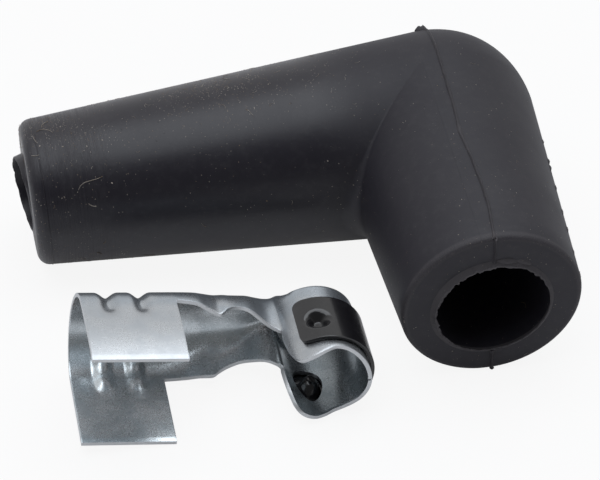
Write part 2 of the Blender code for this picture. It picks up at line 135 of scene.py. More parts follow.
class Wander:
    """Smooth seeded noise along one number, for wobbling lines and ragged edges."""

    def __init__(self, seed: int, length: int = 512) -> None:
        """Draw the values.

        Args:
            seed: Seed of the draw.
            length: How many values before the noise repeats.
        """
        self.values = np.random.default_rng(seed).uniform(-1.0, 1.0, length)

    def at(self, where: float) -> float:
        """Read the noise at a place.

        Args:
            where: The place, where one unit is one drawn value.

        Returns:
            A value between -1 and 1 that changes smoothly from place to place.
        """
        cell = math.floor(where)
        low, high = (self.values[(cell + k) % len(self.values)] for k in (0, 1))
        return float(low + (high - low) * ease(where - cell))

    def rough(self, where: float) -> float:
        """Two octaves of the noise, for torn edges."""
        return 0.65 * self.at(where) + 0.35 * self.at(where * 2.7 + 11.3)


def read_table(table: Sequence[Sequence[float]], at: float) -> list[float]:
    """Values of a table read along its first column, on a smooth curve through its rows.

    Args:
        table: Rows that start with the place and go on with the values.
        at: The place.

    Returns:
        The values at that place.
    """
    last = len(table) - 1
    k = 0
    while k < last - 1 and at > table[k + 1][0]:
        k += 1
    before, low, high, after = (table[min(max(k + n, 0), last)] for n in (-1, 0, 1, 2))
    span = high[0] - low[0]
    share = (at - low[0]) / span
    values = []
    for column in range(1, len(low)):
        slope_low = (high[column] - before[column]) / max(high[0] - before[0], 1e-9) * span
        slope_high = (after[column] - low[column]) / max(after[0] - low[0], 1e-9) * span
        cube = 2 * (low[column] - high[column]) + slope_low + slope_high
        square = 3 * (high[column] - low[column]) - 2 * slope_low - slope_high
        values.append(((cube * share + square) * share + slope_low) * share + low[column])
    return values


def steps(start: float, end: float, count: int) -> list[float]:
    """Evenly spaced numbers from start to end, both included."""
    return [start + (end - start) * k / count for k in range(count + 1)]


def circle(count: int) -> list[float]:
    """Evenly spaced angles once round, in radians."""
    return [2 * math.pi * k / count for k in range(count)]


def clamp(value: float) -> float:
    """A number held between 0 and 1."""
    return min(max(value, 0.0), 1.0)


def ease(share: float) -> float:
    """A share between 0 and 1 with a soft start and end."""
    return share * share * (3 - 2 * share)


class Skin:
    """Collects rows of points into one mesh."""

    def __init__(self) -> None:
        """Start with nothing."""
        self.form = bmesh.new()

    def row(self, points: Sequence[Sequence[float]]) -> list[Any]:
        """Add a row of points and return its vertices."""
        return [self.form.verts.new(point) for point in points]

    def weave(self, rows: Sequence[Sequence[Any]], closed: bool = False) -> None:
        """Join neighbouring rows with quads.

        Args:
            rows: The rows, all of one length.
            closed: Whether the last row joins the first.
        """
        ordered = list(rows) + ([rows[0]] if closed else [])
        for row, after in zip(ordered, ordered[1:]):
            for k in range(len(row) - 1):
                corners = [row[k], row[k + 1], after[k + 1], after[k]]
                if len(set(corners)) == 4:
                    self.form.faces.new(corners)

    def lid(self, ring: Sequence[Any]) -> None:
        """Close a ring of vertices with one face."""
        self.form.faces.new(ring)

    def mesh(self, name: str, weld: float = 0.0005) -> bpy.types.Mesh:
        """Finish the mesh, with its doubles merged and its faces turned out.

        Args:
            name: Name of the mesh.
            weld: Distance within which points merge, in millimetres.

        Returns:
            The mesh, shaded smooth.
        """
        bmesh.ops.remove_doubles(self.form, verts=self.form.verts, dist=weld)
        bmesh.ops.dissolve_degenerate(self.form, dist=weld / 10, edges=self.form.edges)
        bmesh.ops.recalc_face_normals(self.form, faces=self.form.faces)
        mesh = bpy.data.meshes.new(name)
        self.form.to_mesh(mesh)
        self.form.free()
        mesh.shade_smooth()
        return mesh


def turned(name: str, profile: Sequence[tuple[float, float]], sides: int, place: Matrix) -> bpy.types.Object:
    """A solid turned about an axis.

    Args:
        name: Name of the object.
        profile: Pairs of radius and height that start and end on the axis.
        sides: How many sides the solid has.
        place: Where its axis, +Z, goes.

    Returns:
        The object, in the scene.
    """
    skin = Skin()
    rows = []
    for angle in circle(sides):
        across, along = math.cos(angle), math.sin(angle)
        rows.append(skin.row([place @ Vector((r * across, r * along, h)) for r, h in profile]))
    skin.weave(rows, closed=True)
    ends = [row[0] for row in rows], [row[-1] for row in rows]
    for end in ends:
        bmesh.ops.pointmerge(skin.form, verts=end, merge_co=end[0].co)
    return show(name, skin.mesh(name))


def show(name: str, mesh: bpy.types.Mesh) -> bpy.types.Object:
    """Put a mesh into the scene.

    Args:
        name: Name of the object.
        mesh: The mesh.

    Returns:
        The object, at the origin.
    """
    item = bpy.data.objects.new(name, mesh)
    bpy.context.scene.collection.objects.link(item)
    return item


def settle(item: bpy.types.Object) -> bpy.types.Object:
    """Turn what an object's modifiers make into its plain mesh.

    Args:
        item: The object.

    Returns:
        The same object, without modifiers.
    """
    bpy.context.view_layer.update()
    evaluated = item.evaluated_get(bpy.context.evaluated_depsgraph_get())
    mesh = bpy.data.meshes.new_from_object(evaluated)
    item.modifiers.clear()
    old = item.data
    item.data = mesh
    mesh.name = item.name
    bpy.data.meshes.remove(old)
    return item


def cut(item: bpy.types.Object, tools: Sequence[bpy.types.Object], how: Cut) -> bpy.types.Object:
    """Cut or join solids and drop the tools.

    Args:
        item: The solid that changes.
        tools: The solids that change it.
        how: Whether they join it or are taken from it.

    Returns:
        The changed solid.
    """
    for tool in tools:
        modifier = item.modifiers.new(how.name.title(), "BOOLEAN")
        modifier.operation = how.value
        modifier.object = tool
        modifier.solver = "EXACT"
        settle(item)
        bpy.data.objects.remove(tool, do_unlink=True)
    return item


def carry(item: bpy.types.Object, place: Place) -> bpy.types.Object:
    """Put an object's mesh into the row frame.

    Args:
        item: The object, whose mesh is in its piece's own frame.
        place: Where that frame lies.

    Returns:
        The same object.
    """
    item.data.transform(place.matrix())
    item.data.update()
    return item


def crisp(item: bpy.types.Object, degrees: float) -> None:
    """Shade an object smooth but for its edges sharper than an angle."""
    item.data.shade_smooth()
    item.data.set_sharp_from_angle(angle=math.radians(degrees))


# Shader maths


class Wire:
    """A socket that takes part in Python sums; each operator adds a Math node."""

    def __init__(self, graph: "Graph", socket: Any) -> None:
        """Wrap a socket of a graph."""
        self.graph = graph
        self.socket = socket

    def _math(self, operation: str, *values: Any) -> "Wire":
        """A Math node of one operation on values or wires."""
        return self.graph.add("ShaderNodeMath", {"operation": operation}, dict(enumerate(values)))

    def __add__(self, other: Any) -> "Wire":
        """Sum."""
        return self._math("ADD", self, other)

    def __radd__(self, other: Any) -> "Wire":
        """Sum, reflected."""
        return self._math("ADD", other, self)

    def __sub__(self, other: Any) -> "Wire":
        """Difference."""
        return self._math("SUBTRACT", self, other)

    def __rsub__(self, other: Any) -> "Wire":
        """Difference, reflected."""
        return self._math("SUBTRACT", other, self)

    def __mul__(self, other: Any) -> "Wire":
        """Product."""
        return self._math("MULTIPLY", self, other)

    def __rmul__(self, other: Any) -> "Wire":
        """Product, reflected."""
        return self._math("MULTIPLY", other, self)

    def over(self, low: float, high: float) -> "Wire":
        """Smooth step: 0 below low and 1 above high, or the reverse when low is above high."""
        limits = {"Value": self, "From Min": low, "From Max": high}
        return self.graph.add("ShaderNodeMapRange", {"interpolation_type": "SMOOTHSTEP"}, limits)

    def within(self, low: float, high: float, soft: float) -> "Wire":
        """1 between two values and 0 outside, with soft edges."""
        return self.over(low - soft, low) * self.over(high + soft, high)

    def least(self, other: Any) -> "Wire":
        """The smaller of two."""
        return self._math("MINIMUM", self, other)


class Graph:
    """The node tree of one material, with one method that adds any node."""

    def __init__(self, name: str) -> None:
        """Make a material with only its output and Principled shader.

        Args:
            name: Name of the material.
        """
        self.material = bpy.data.materials.new(name)
        self.material.use_nodes = True
        self.tree = self.material.node_tree
        self.shader = self.tree.nodes["Principled BSDF"]

    def add(self, kind: str, settings: dict[str, Any], inputs: dict[Any, Any], output: Any = 0) -> Wire:
        """Add a node.

        Args:
            kind: The node's type.
            settings: Its properties, set before its sockets.
            inputs: Values or wires by socket name or number.
            output: Name or number of the output that is wanted.

        Returns:
            That output.
        """
        node = self.tree.nodes.new(kind)
        for key, value in settings.items():
            setattr(node, key, value)
        for key, value in inputs.items():
            self.feed(node.inputs[key], value)
        return Wire(self, node.outputs[output])

    def feed(self, socket: Any, value: Any) -> None:
        """Link a wire to a socket, or set the socket's value.

        Args:
            socket: The input socket.
            value: A wire, or a value. A colour may leave out its alpha.
        """
        if isinstance(value, Wire):
            self.tree.links.new(value.socket, socket)
        elif isinstance(value, tuple) and len(value) == 3 and socket.type == "RGBA":
            socket.default_value = (*value, 1.0)
        else:
            socket.default_value = value

    def own_frame(self, place: Place) -> Wire:
        """Coordinates in a piece's own frame, in millimetres.

        Args:
            place: The piece's place.

        Returns:
            The coordinates.
        """
        coordinates = self.add("ShaderNodeTexCoord", {}, {}, "Object")
        settings = {"vector_type": "TEXTURE"}
        values = {"Vector": coordinates, "Location": place.origin, "Rotation": tuple(place.turn.to_euler()),
                  "Scale": (MM, MM, MM)}
        return self.add("ShaderNodeMapping", settings, values)

    def split(self, vector: Wire) -> tuple[Wire, Wire, Wire]:
        """Take a vector apart.

        Args:
            vector: The vector.

        Returns:
            Its three parts.
        """
        node = self.tree.nodes.new("ShaderNodeSeparateXYZ")
        self.feed(node.inputs[0], vector)
        return Wire(self, node.outputs[0]), Wire(self, node.outputs[1]), Wire(self, node.outputs[2])

    def stretch(self, vector: Wire, factors: Point) -> Wire:
        """A vector with each part multiplied."""
        return self.add("ShaderNodeVectorMath", {"operation": "MULTIPLY"}, {0: vector, 1: factors})

    def noise(self, vector: Wire, scale: float, detail: float = 2.0, roughness: float = 0.5) -> Wire:
        """Noise between 0 and 1, centred on one half."""
        values = {"Vector": vector, "Scale": scale, "Detail": detail, "Roughness": roughness}
        return self.add("ShaderNodeTexNoise", {}, values, 0)

    def dots(self, vector: Wire, scale: float, size: float, soft: float = 0.4) -> Wire:
        """Small round dots, one to a cell, as a mask.

        Args:
            vector: The coordinates.
            scale: How many cells fit into one unit.
            size: A dot's radius as a share of its cell.
            soft: Share of that radius within which the mask is full.

        Returns:
            The mask.
        """
        values = {"Vector": vector, "Scale": scale, "Randomness": 1.0}
        distance = self.add("ShaderNodeTexVoronoi", {"feature": "F1"}, values, "Distance")
        return distance.over(size, size * soft)

    def blend(self, share: Any, first: Any, second: Any) -> Wire:
        """Mix two colours.

        Args:
            share: How much of the second there is.
            first: The first colour.
            second: The second colour.

        Returns:
            The mixed colour.
        """
        node = self.tree.nodes.new("ShaderNodeMix")
        node.data_type = "RGBA"
        sockets = [s for s in node.inputs if s.type == "RGBA"]
        self.feed(node.inputs[0], share)
        self.feed(sockets[0], first)
        self.feed(sockets[1], second)
        return Wire(self, next(s for s in node.outputs if s.type == "RGBA"))

    def bump(self, height: Wire, distance: float, strength: float) -> Wire:
        """A bump whose height is in units of a distance in metres."""
        return self.add("ShaderNodeBump", {}, {"Height": height, "Distance": distance, "Strength": strength})

    def close(self, values: dict[str, Any]) -> bpy.types.Material:
        """Set the Principled shader's sockets.

        Args:
            values: Values or wires by socket name.

        Returns:
            The finished material.
        """
        for name, value in values.items():
            self.feed(self.shader.inputs[name], value)
        return self.material


# Finishes


@dataclass(frozen=True)
class MouldedRubber:
    """Matte black rubber with moulding marks, a dust film, a lighter band round the mouth's rim, and fine
    pits darkened with painted shade.

    Args:
        place: The boot's place, whose frame the marks follow.
        dark: Colour of clean rubber.
        film: Colour where dust clings, and of the lighter band round the mouth's rim.
        roughness: Middle roughness of the wire leg.
        matte: How much rougher the rest is.
        leg_end: Distance of the wire leg's end from the elbow, in millimetres.
        flash: How much more dust clings to it than to the body, as it does to thin and torn flash.
        speck: Colour of the finest dust dots.
        pit_shade: Colour of the painted shade in the pits.
        specular: Level of its plain reflection.
    """

    place: Place
    dark: Colour = (0.0145, 0.013, 0.0195)
    film: Colour = (0.066, 0.061, 0.066)
    roughness: float = 0.36
    matte: float = 0.22
    leg_end: float = 36.9
    flash: float = 0.0
    speck: Colour = (0.3, 0.27, 0.22)
    pit_shade: Colour = (0.004, 0.004, 0.004)
    specular: float = 0.46

    def material(self, name: str) -> bpy.types.Material:
        """Build the material.

        Args:
            name: Name of the material.

        Returns:
            The material.
        """
        g = Graph(name)
        own = g.own_frame(self.place)
        x, y, z = g.split(own)
        mottle = g.noise(own, 0.22, 3.0)
        cloud = g.noise(own, 1.3, 4.0, 0.6)
        grain = g.noise(own, 9.0, 3.0, 0.7)
        near_end = (x + self.leg_end).within(1.3, 5.0, 4.0)
        rim = y.within(-24.0, -23.3, 0.3) * (x * x + z * z).over(53.0, 57.0)
        turned_leg = (x + 9.0).over(3.0, -3.0)
        rings = g.noise(g.stretch(own, (7.0, 0.12, 0.12)), 1.0, 4.0, 0.8)
        fine_dots = g.dots(own, 1.15, 0.075) * g.noise(own, 0.6, 2.0).over(0.42, 0.62)
        tiny_dots = g.dots(own, 2.6, 0.11) * (cloud.over(0.4, 0.7) + rim * 2.0).least(1.0)
        pits = g.dots(own, 0.8, 0.07) * mottle.over(0.45, 0.6)
        top = z.over(3.5, 8.5)
        dust_and_rim_band = cloud.over(0.45, 0.75) * 0.16 + near_end * top * 0.16 + self.flash * 0.5
        # The colour is lighter in a band round the mouth's outer rim, and the specks are denser there.
        dust_and_rim_band = dust_and_rim_band + rim * (0.35 + grain.over(0.4, 0.7) * 0.5)
        dust_and_rim_band = (dust_and_rim_band + near_end * rings.over(0.5, 0.8) * 0.22).least(1.0)
        base = g.blend(dust_and_rim_band, self.dark, self.film)
        base = g.blend((fine_dots * 0.7 + tiny_dots * 0.35).least(1.0), base, self.speck)
        # Painted shade: the pits are darkened to near black.
        base = g.blend(pits * 0.7, base, self.pit_shade)
        polish = (rings - 0.5) * near_end * 0.5 + (1 - turned_leg) * self.matte
        roughness = self.roughness + (mottle - 0.5) * 0.16 + (grain - 0.5) * 0.1 + polish + dust_and_rim_band * 0.15
        height = grain * 0.3 + rings * near_end * 4.0 - pits * 1.2 + fine_dots * 0.5
        normal = g.bump(height, 0.00003, 0.55)
        return g.close({"Base Color": base, "Roughness": roughness, "Normal": normal,
                        "Specular IOR Level": self.specular})


@dataclass(frozen=True)
class PlatedSheet:
    """Bright plated steel sheet with a fine satin grain, handling marks and stains, and where asked painted
    shade between the barrel and the ring.

    Args:
        place: The terminal's place.
        bright: Colour of clean plating.
        dull: Colour of its duller patches.
        stain: Colour of the faint stains on the channel's upper side.
        hollow: Colour to which shade darkens.
        sheared: Colour of the bright cut edge.
        roughness: Middle roughness.
        edge_roughness: Middle roughness of the cut edge.
        satin: Share of the light that it scatters as a dull coat does.
        shade: How far painted shade darkens the plating between the barrel and the ring, from 0 to 1.
        edge: Whether this is the cut edge of the sheet.
    """

    place: Place
    bright: Colour = (0.53, 0.55, 0.57)
    dull: Colour = (0.4, 0.43, 0.46)
    stain: Colour = (0.36, 0.3, 0.27)
    hollow: Colour = (0.1, 0.125, 0.14)
    sheared: Colour = (0.72, 0.73, 0.74)
    roughness: float = 0.3
    edge_roughness: float = 0.42
    satin: float = 0.17
    shade: float = 0.0
    edge: bool = False

    def material(self, name: str) -> bpy.types.Material:
        """Build the material.

        Args:
            name: Name of the material.

        Returns:
            The material.
        """
        g = Graph(name)
        own = g.own_frame(self.place)
        x, y, z = g.split(own)
        patches = g.noise(own, 0.45, 4.0, 0.6)
        grain = g.noise(own, 7.0, 4.0, 0.75)
        rolled = g.noise(g.stretch(own, (0.5, 5.0, 5.0)), 1.0, 3.0, 0.7)
        inside = y.within(-10.4, -7.6, 1.2) * z.over(-2.0, 1.5)
        base = g.blend((patches.over(0.4, 0.72) * 0.55 + grain * 0.25).least(1.0), self.bright, self.dull)
        base = g.blend(inside * patches.over(0.25, 0.55) * 0.8, base, self.stain)
        # Painted shade: the plating darkens towards the hollow colour between the barrel and the ring.
        if self.shade:
            base = g.blend(x.within(-17.5, -11.0, 2.5) * self.shade, base, self.hollow)
        marks = g.dots(g.stretch(own, (0.4, 1.0, 1.0)), 0.9, 0.12)
        roughness = self.roughness + (grain - 0.5) * 0.3 + (patches - 0.5) * 0.2 + marks * 0.1
        height = grain * 0.6 + rolled * 0.25 - marks * 0.5
        normal = g.bump(height, 0.00002, 0.35)
        if self.edge:
            base = g.blend(grain * 0.6, self.sheared, self.dull)
            roughness = self.edge_roughness + (grain - 0.5) * 0.3
        return g.close({"Base Color": base, "Metallic": 1.0 - self.satin, "Roughness": roughness,
                        "Normal": normal})


@dataclass(frozen=True)
class BlackSpring:
    """Black oxide on spring steel, half matte, with glossier worn patches.

    Args:
        place: The clip's place.
        dark: Colour of the oxide.
        worn: Colour where it is rubbed.
        fleck: Colour of the dust dots.
        roughness: Middle roughness.
        coat: Weight of the glossier film of oil over the oxide.
        coat_roughness: Roughness of that film.
    """

    place: Place
    dark: Colour = (0.008, 0.0075, 0.009)
    worn: Colour = (0.035, 0.035, 0.037)
    fleck: Colour = (0.5, 0.48, 0.45)
    roughness: float = 0.2
    coat: float = 0.35
    coat_roughness: float = 0.08

    def material(self, name: str) -> bpy.types.Material:
        """Build the material.

        Args:
            name: Name of the material.

        Returns:
            The material.
        """
        g = Graph(name)
        own = g.own_frame(self.place)
        patches = g.noise(own, 0.7, 3.0)
        grain = g.noise(own, 10.0, 3.0, 0.7)
        specks = g.dots(own, 1.6, 0.06) * patches.over(0.45, 0.6)
        base = g.blend(patches.over(0.5, 0.75) * 0.4, self.dark, self.worn)
        base = g.blend(specks, base, self.fleck)
        roughness = self.roughness + (patches - 0.5) * 0.2 + (grain - 0.5) * 0.15
        normal = g.bump(grain, 0.00001, 0.4)
        return g.close({"Base Color": base, "Roughness": roughness, "Normal": normal,
                        "Coat Weight": self.coat, "Coat Roughness": self.coat_roughness})


@dataclass(frozen=True)
class Dust:
    """Pale flakes and lint.

    Args:
        pale: Lighter colour.
        brown: Darker colour.
    """

    pale: Colour = (0.42, 0.38, 0.33)
    brown: Colour = (0.2, 0.15, 0.1)

    def material(self, name: str) -> bpy.types.Material:
        """Build the material, which changes from flake to flake by place.

        Args:
            name: Name of the material.

        Returns:
            The material.
        """
        g = Graph(name)
        coordinates = g.add("ShaderNodeTexCoord", {}, {}, "Object")
        share = g.noise(coordinates, 900.0, 1.0)
        base = g.blend(share.over(0.4, 0.6), self.pale, self.brown)
        return g.close({"Base Color": base, "Roughness": 0.9})


# The boot


@dataclass
class Boot:
    """The moulded rubber elbow, in its own frame: wire leg along -X, plug leg along -Y.

    Lengths are in millimetres but for the origin, and angles are in radians.

    Args:
        origin: The elbow's centre in the row frame, in metres.
        elbow: Radius of both legs at the elbow.
        wire_length: Distance of the wire leg's end from the elbow.
        wire_end: Radius of the wire leg where the rounding of its end begins.
        wire_rounding: Radius of that rounding.
        plug_length: Distance of the mouth from the elbow, at middle height.
        plug_end: Radius of the plug leg at the mouth.
        mouth_tilt: How far the mouth's plane is off square.
        crotch: Greatest radius of the fillet between the legs.
        crotch_least: Its least radius.
        crotch_middle: Angle round the wire leg where it is greatest.
        crotch_spread: Angle over which it falls to the least.
        bulge: How far the elbow's back bulges, as a share of its radius.
        plug_bore: Radius of the plug bore.
        bore_drop: How far that bore's axis lies under the leg's.
        wire_bore: Radius of the wire bore.
        bore_sides: How many sides the plug bore and the wire bore have.
        lip_wall: Thickness of the lip round the wire hole.
        lip_high: Its greatest height.
        lip_low: Its least height.
        lip_peak: Angle round the hole where it is highest.
        lip_falloff: How fast it gets lower from there, as a power.
        lip_tear: How ragged its edge is, as a share of its height.
        lip_waver: How far its thickness wavers.
        lip_foot: How much wider it is at its foot.
        lip_root: How deep it sinks into the end face.
        wire_lip_sides: How many sides it has.
        bore_lip_peak: Angle round the plug bore where the flash on its rim is widest.
        bore_lip_reach: How far this flash reaches into the bore at least.
        bore_lip_reach_more: How much further it reaches where it is widest.
        bore_lip_rise: Its least height over the mouth.
        bore_lip_rise_more: How much higher it is where it is widest.
        bore_lip_foot: How far it lies over the mouth's face at least.
        bore_lip_foot_more: How much further it lies over it where it is widest.
        bore_lip_root: How deep it sinks into that face.
        bore_lip_sides: How many sides it has.
        rim_rounding: Radius of the mouth's outer edge.
        mould_line: Distance of the fine line near the wire end from the end's rounding.
        mould_line_height: Height of that line.
        mould_line_section: Its section, as pairs of place and share of its height.
        flash_width: Half the width of the parting flash.
        flash_height: Its height.
        flash_sway: How far it sways sideways.
        flash_swell: How much its width and height vary, as a share.
        flash_below: Share of its height that it has on the boot's lower half.
        flash_section: Its section, as pairs of across and rise in shares of its half width and height.
        doubled: Distance from the elbow at which it is widest.
        doubled_reach: Half the length of this wider stretch.
        doubled_width: How much wider it is there, as a share.
        drift: Pairs of distance from the elbow and the flash's place beside the middle.
        ridge_sway: How far the ridge across the mouth's face sways sideways.
        ridge_shift: How far its upper part stands beside the middle.
        ridge_section: Its section, as pairs of across and rise.
        back_nub: Angle of the torn nub on the elbow's back over the level.
        back_nub_shift: How far it stands beside the middle.
        back_nub_size: Half its length, and its height.
        nub_side: Angle round the plug leg at which the row of small nubs stands.
        nub_reach: Half the length of each.
        nubs: For each, its distance from the elbow and its height.
        flaps: For each torn bit by the bore, its place across and up, half its length, height and seed.
        strings: How many lines of points run along the boot.
        elbow_steps: Into how many parts each is divided over the elbow.
    """

    origin: Point = (0.014380627, 0.009481918, 0.009296895)
    elbow: float = 9.2
    wire_length: float = 36.9
    wire_end: float = 6.55
    wire_rounding: float = 1.1
    plug_length: float = 23.5
    plug_end: float = 7.85
    mouth_tilt: float = math.radians(2.5)
    crotch: float = 2.0
    crotch_least: float = 0.3
    crotch_middle: float = math.radians(-12)
    crotch_spread: float = math.radians(60)
    bulge: float = 0.02
    plug_bore: float = 5.15
    bore_drop: float = 0.24
    wire_bore: float = 3.3
    bore_sides: tuple[int, int] = (144, 96)
    lip_wall: float = 0.25
    lip_high: float = 0.9
    lip_low: float = 0.08
    lip_peak: float = math.radians(15)
    lip_falloff: float = 1.2
    lip_tear: float = 0.1
    lip_waver: float = 0.06
    lip_foot: float = 0.12
    lip_root: float = 0.4
    wire_lip_sides: int = 144
    bore_lip_peak: float = math.radians(125)
    bore_lip_reach: float = 0.1
    bore_lip_reach_more: float = 0.3
    bore_lip_rise: float = 0.14
    bore_lip_rise_more: float = 0.26
    bore_lip_foot: float = 0.2
    bore_lip_foot_more: float = 0.16
    bore_lip_root: float = 0.3
    bore_lip_sides: int = 420
    rim_rounding: float = 0.42
    mould_line: float = 0.04
    mould_line_height: float = 0.04
    mould_line_section: tuple[tuple[float, float], ...] = (
        (0.0, 0.0), (-0.03, 1.0), (-0.08, 1.0), (-0.12, 0.0), (-0.25, 0.0))
    flash_width: float = 0.14
    flash_height: float = 0.2
    flash_sway: float = 0.03
    flash_swell: float = 0.3
    flash_below: float = 0.45
    flash_section: tuple[tuple[float, float], ...] = (
        (-1.3, -0.3), (-0.9, 0.0), (-0.5, 0.8), (0.0, 1.0), (0.5, 0.75), (0.9, 0.0), (1.3, -0.3))
    doubled: float = 10.8
    doubled_reach: float = 2.2
    doubled_width: float = 0.7
    drift: tuple[tuple[float, float], ...] = (
        (-9.3, 0.45), (-5.0, 0.45), (1.2, 0.39), (4.8, 0.34), (8.1, 0.27), (10.2, 0.15), (11.4, 0.2),
        (13.7, 0.36), (16.6, 0.48), (20.1, 0.5), (23.9, 0.1))
    ridge_sway: float = 0.04
    ridge_shift: float = 0.14
    ridge_section: tuple[tuple[float, float], ...] = (
        (-0.16, -0.1), (-0.1, 0.1), (-0.02, 0.26), (0.08, 0.1), (0.14, -0.1))
    back_nub: float = math.radians(52)
    back_nub_shift: float = 0.14
    back_nub_size: tuple[float, float] = (0.56, 0.38)
    nub_side: float = math.radians(161)
    nub_reach: float = 0.45
    nubs: tuple[tuple[float, float], ...] = (
        (6.9, 0.1), (9.5, 0.13), (10.4, 0.12), (13.0, 0.1), (16.1, 0.09), (18.4, 0.11), (21.2, 0.08))
    flaps: tuple[tuple[float, float, float, float, int], ...] = (
        (1.15, 4.95, 1.0, 0.26, 80), (2.7, 4.5, 0.8, 0.16, 81), (0.35, -5.45, 0.5, 0.24, 82))
    strings: int = 240
    elbow_steps: int = 24

    def __post_init__(self) -> None:
        """Work out the tapers and the place."""
        self.wire_taper = (self.elbow - self.wire_end) / (self.wire_length - self.wire_rounding)
        self.plug_taper = (self.elbow - self.plug_end) / self.plug_length
        self.place = Place(self.origin, boot_turn(self.wire_taper, self.plug_taper))

    def wire_radius(self, distance: float) -> float:
        """Radius of the wire leg at a distance from the elbow."""
        return self.elbow - self.wire_taper * distance

    def plug_radius(self, distance: float) -> float:
        """Radius of the plug leg at a distance from the elbow."""
        return self.elbow - self.plug_taper * distance

    def mouth_distance(self, height: float) -> float:
        """Distance of the mouth's plane from the elbow at a height."""
        return self.plug_length + math.tan(self.mouth_tilt) * height

    def wire_profile(self) -> list[tuple[float, float]]:
        """Lay out the wire leg's side, with its mould line, from its end face to the elbow.

        Returns:
            Pairs of distance from the elbow and radius.
        """
        pairs = []
        for turn in steps(math.pi / 2, 0.0, 10):
            pairs.append((self.wire_length - self.wire_rounding * (1 - math.sin(turn)),
                          self.wire_end - self.wire_rounding * (1 - math.cos(turn))))
        line = self.wire_length - self.wire_rounding - self.mould_line
        for shift, lift in self.mould_line_section:
            distance = line + shift
            pairs.append((distance, self.wire_radius(distance) + self.mould_line_height * lift))
        for distance in steps(line - 1.5, 2 * self.elbow, 14):
            pairs.append((distance, self.wire_radius(distance)))
        return pairs

    def crotch_radius(self, angle: float) -> float:
        """Radius of the fillet between the legs, widest in the crotch and crisp towards top and bottom.

        Args:
            angle: Angle round the wire leg, from the crotch over the top.

        Returns:
            The radius.
        """
        aside = abs(math.remainder(angle, 2 * math.pi) - self.crotch_middle)
        share = max(0.0, 1 - aside / self.crotch_spread)
        return self.crotch_least + (self.crotch - self.crotch_least) * ease(share)

    def crotch_arc(self, angle: float) -> list[Vector]:
        """Points of the fillet between the legs for one line along the wire leg.

        Args:
            angle: Angle of the line round the wire leg, from the crotch over the top.

        Returns:
            The points from the wire leg to the plug leg.
        """
        wire_lean, plug_lean = math.atan(self.wire_taper), math.atan(self.plug_taper)
        normal = Vector((-math.sin(wire_lean), -math.cos(angle) * math.cos(wire_lean),
                         math.sin(angle) * math.cos(wire_lean)))
        near, far = 0.0, self.wire_length / 2
        fillet = self.crotch_radius(angle)
        centre, reach = Vector(), 1.0
        for _ in range(40):
            distance = (near + far) / 2
            radius = self.wire_radius(distance)
            foot = Vector((-distance, -radius * math.cos(angle), radius * math.sin(angle)))
            centre = foot + normal * fillet
            reach = math.hypot(centre.x, centre.z)
            if (reach - self.plug_radius(-centre.y)) * math.cos(plug_lean) < fillet:
                near = distance
            else:
                far = distance
        outward = Vector((centre.x / reach * math.cos(plug_lean), -math.sin(plug_lean),
                          centre.z / reach * math.cos(plug_lean)))
        return [centre + (-normal).slerp(-outward, share) * fillet for share in steps(0, 1, self.elbow_steps)]

    def dome_arc(self, angle: float) -> list[Vector]:
        """Points over the round back of the elbow, at one height.

        Args:
            angle: Angle round the wire leg, from the crotch over the top.

        Returns:
            The points from the wire leg to the plug leg.
        """
        radius, height = -self.elbow * math.cos(angle), self.elbow * math.sin(angle)
        points = []
        for turn in steps(0, math.pi / 2, self.elbow_steps):
            reach = radius * (1 + self.bulge * math.sin(2 * turn) ** 2)
            points.append(Vector((reach * math.sin(turn), reach * math.cos(turn), height)))
        return points

    def string(self, angle: float) -> list[Vector]:
        """One line of points from the wire end over the elbow to the mouth.

        Args:
            angle: Angle of the line round the wire leg.

        Returns:
            The points.
        """
        across = math.cos(angle)
        if abs(across) < 1e-6:
            middle = [Vector((0, 0, math.copysign(self.elbow, math.sin(angle))))] * (self.elbow_steps + 1)
            side = angle
        else:
            middle = self.crotch_arc(angle) if across > 0 else self.dome_arc(angle)
            side = math.atan2(middle[-1].z, -middle[-1].x)
        start = -middle[0].x
        points = [Vector((-d, -r * across, r * math.sin(angle))) for d, r in self.wire_profile()]
        for distance in steps(2 * self.elbow, start, 6)[1:-1]:
            radius = self.wire_radius(distance)
            points.append(Vector((-distance, -radius * across, radius * math.sin(angle))))
        points += middle
        first, height = -middle[-1].y, 0.0
        for _ in range(6):
            end = self.mouth_distance(height)
            height = self.plug_radius(end) * math.sin(side)
        end = self.mouth_distance(height)
        for distance in steps(first, end - self.rim_rounding, 12)[1:]:
            points.append(self.plug_point(distance, self.plug_radius(distance), side))
        for turn in steps(0, math.pi / 2, 6)[1:]:
            radius = self.plug_radius(end) - self.rim_rounding * (1 - math.cos(turn))
            points.append(self.plug_point(end - self.rim_rounding * (1 - math.sin(turn)), radius, side))
        return points

    @staticmethod
    def plug_point(distance: float, radius: float, side: float) -> Vector:
        """A point on the plug leg."""
        return Vector((-radius * math.cos(side), -distance, radius * math.sin(side)))

    def outside(self) -> bpy.types.Object:
        """Make the boot's closed outer form and cut its two bores.

        Returns:
            The object, in the boot's own frame.
        """
        skin = Skin()
        rows = [skin.row(self.string(angle)) for angle in circle(self.strings)]
        skin.weave(rows, closed=True)
        skin.lid([row[0] for row in rows])
        skin.lid([row[-1] for row in reversed(rows)])
        boot = show("boot_skin", skin.mesh("boot_skin"))
        return cut(boot, self.bores(), Cut.REMOVE)

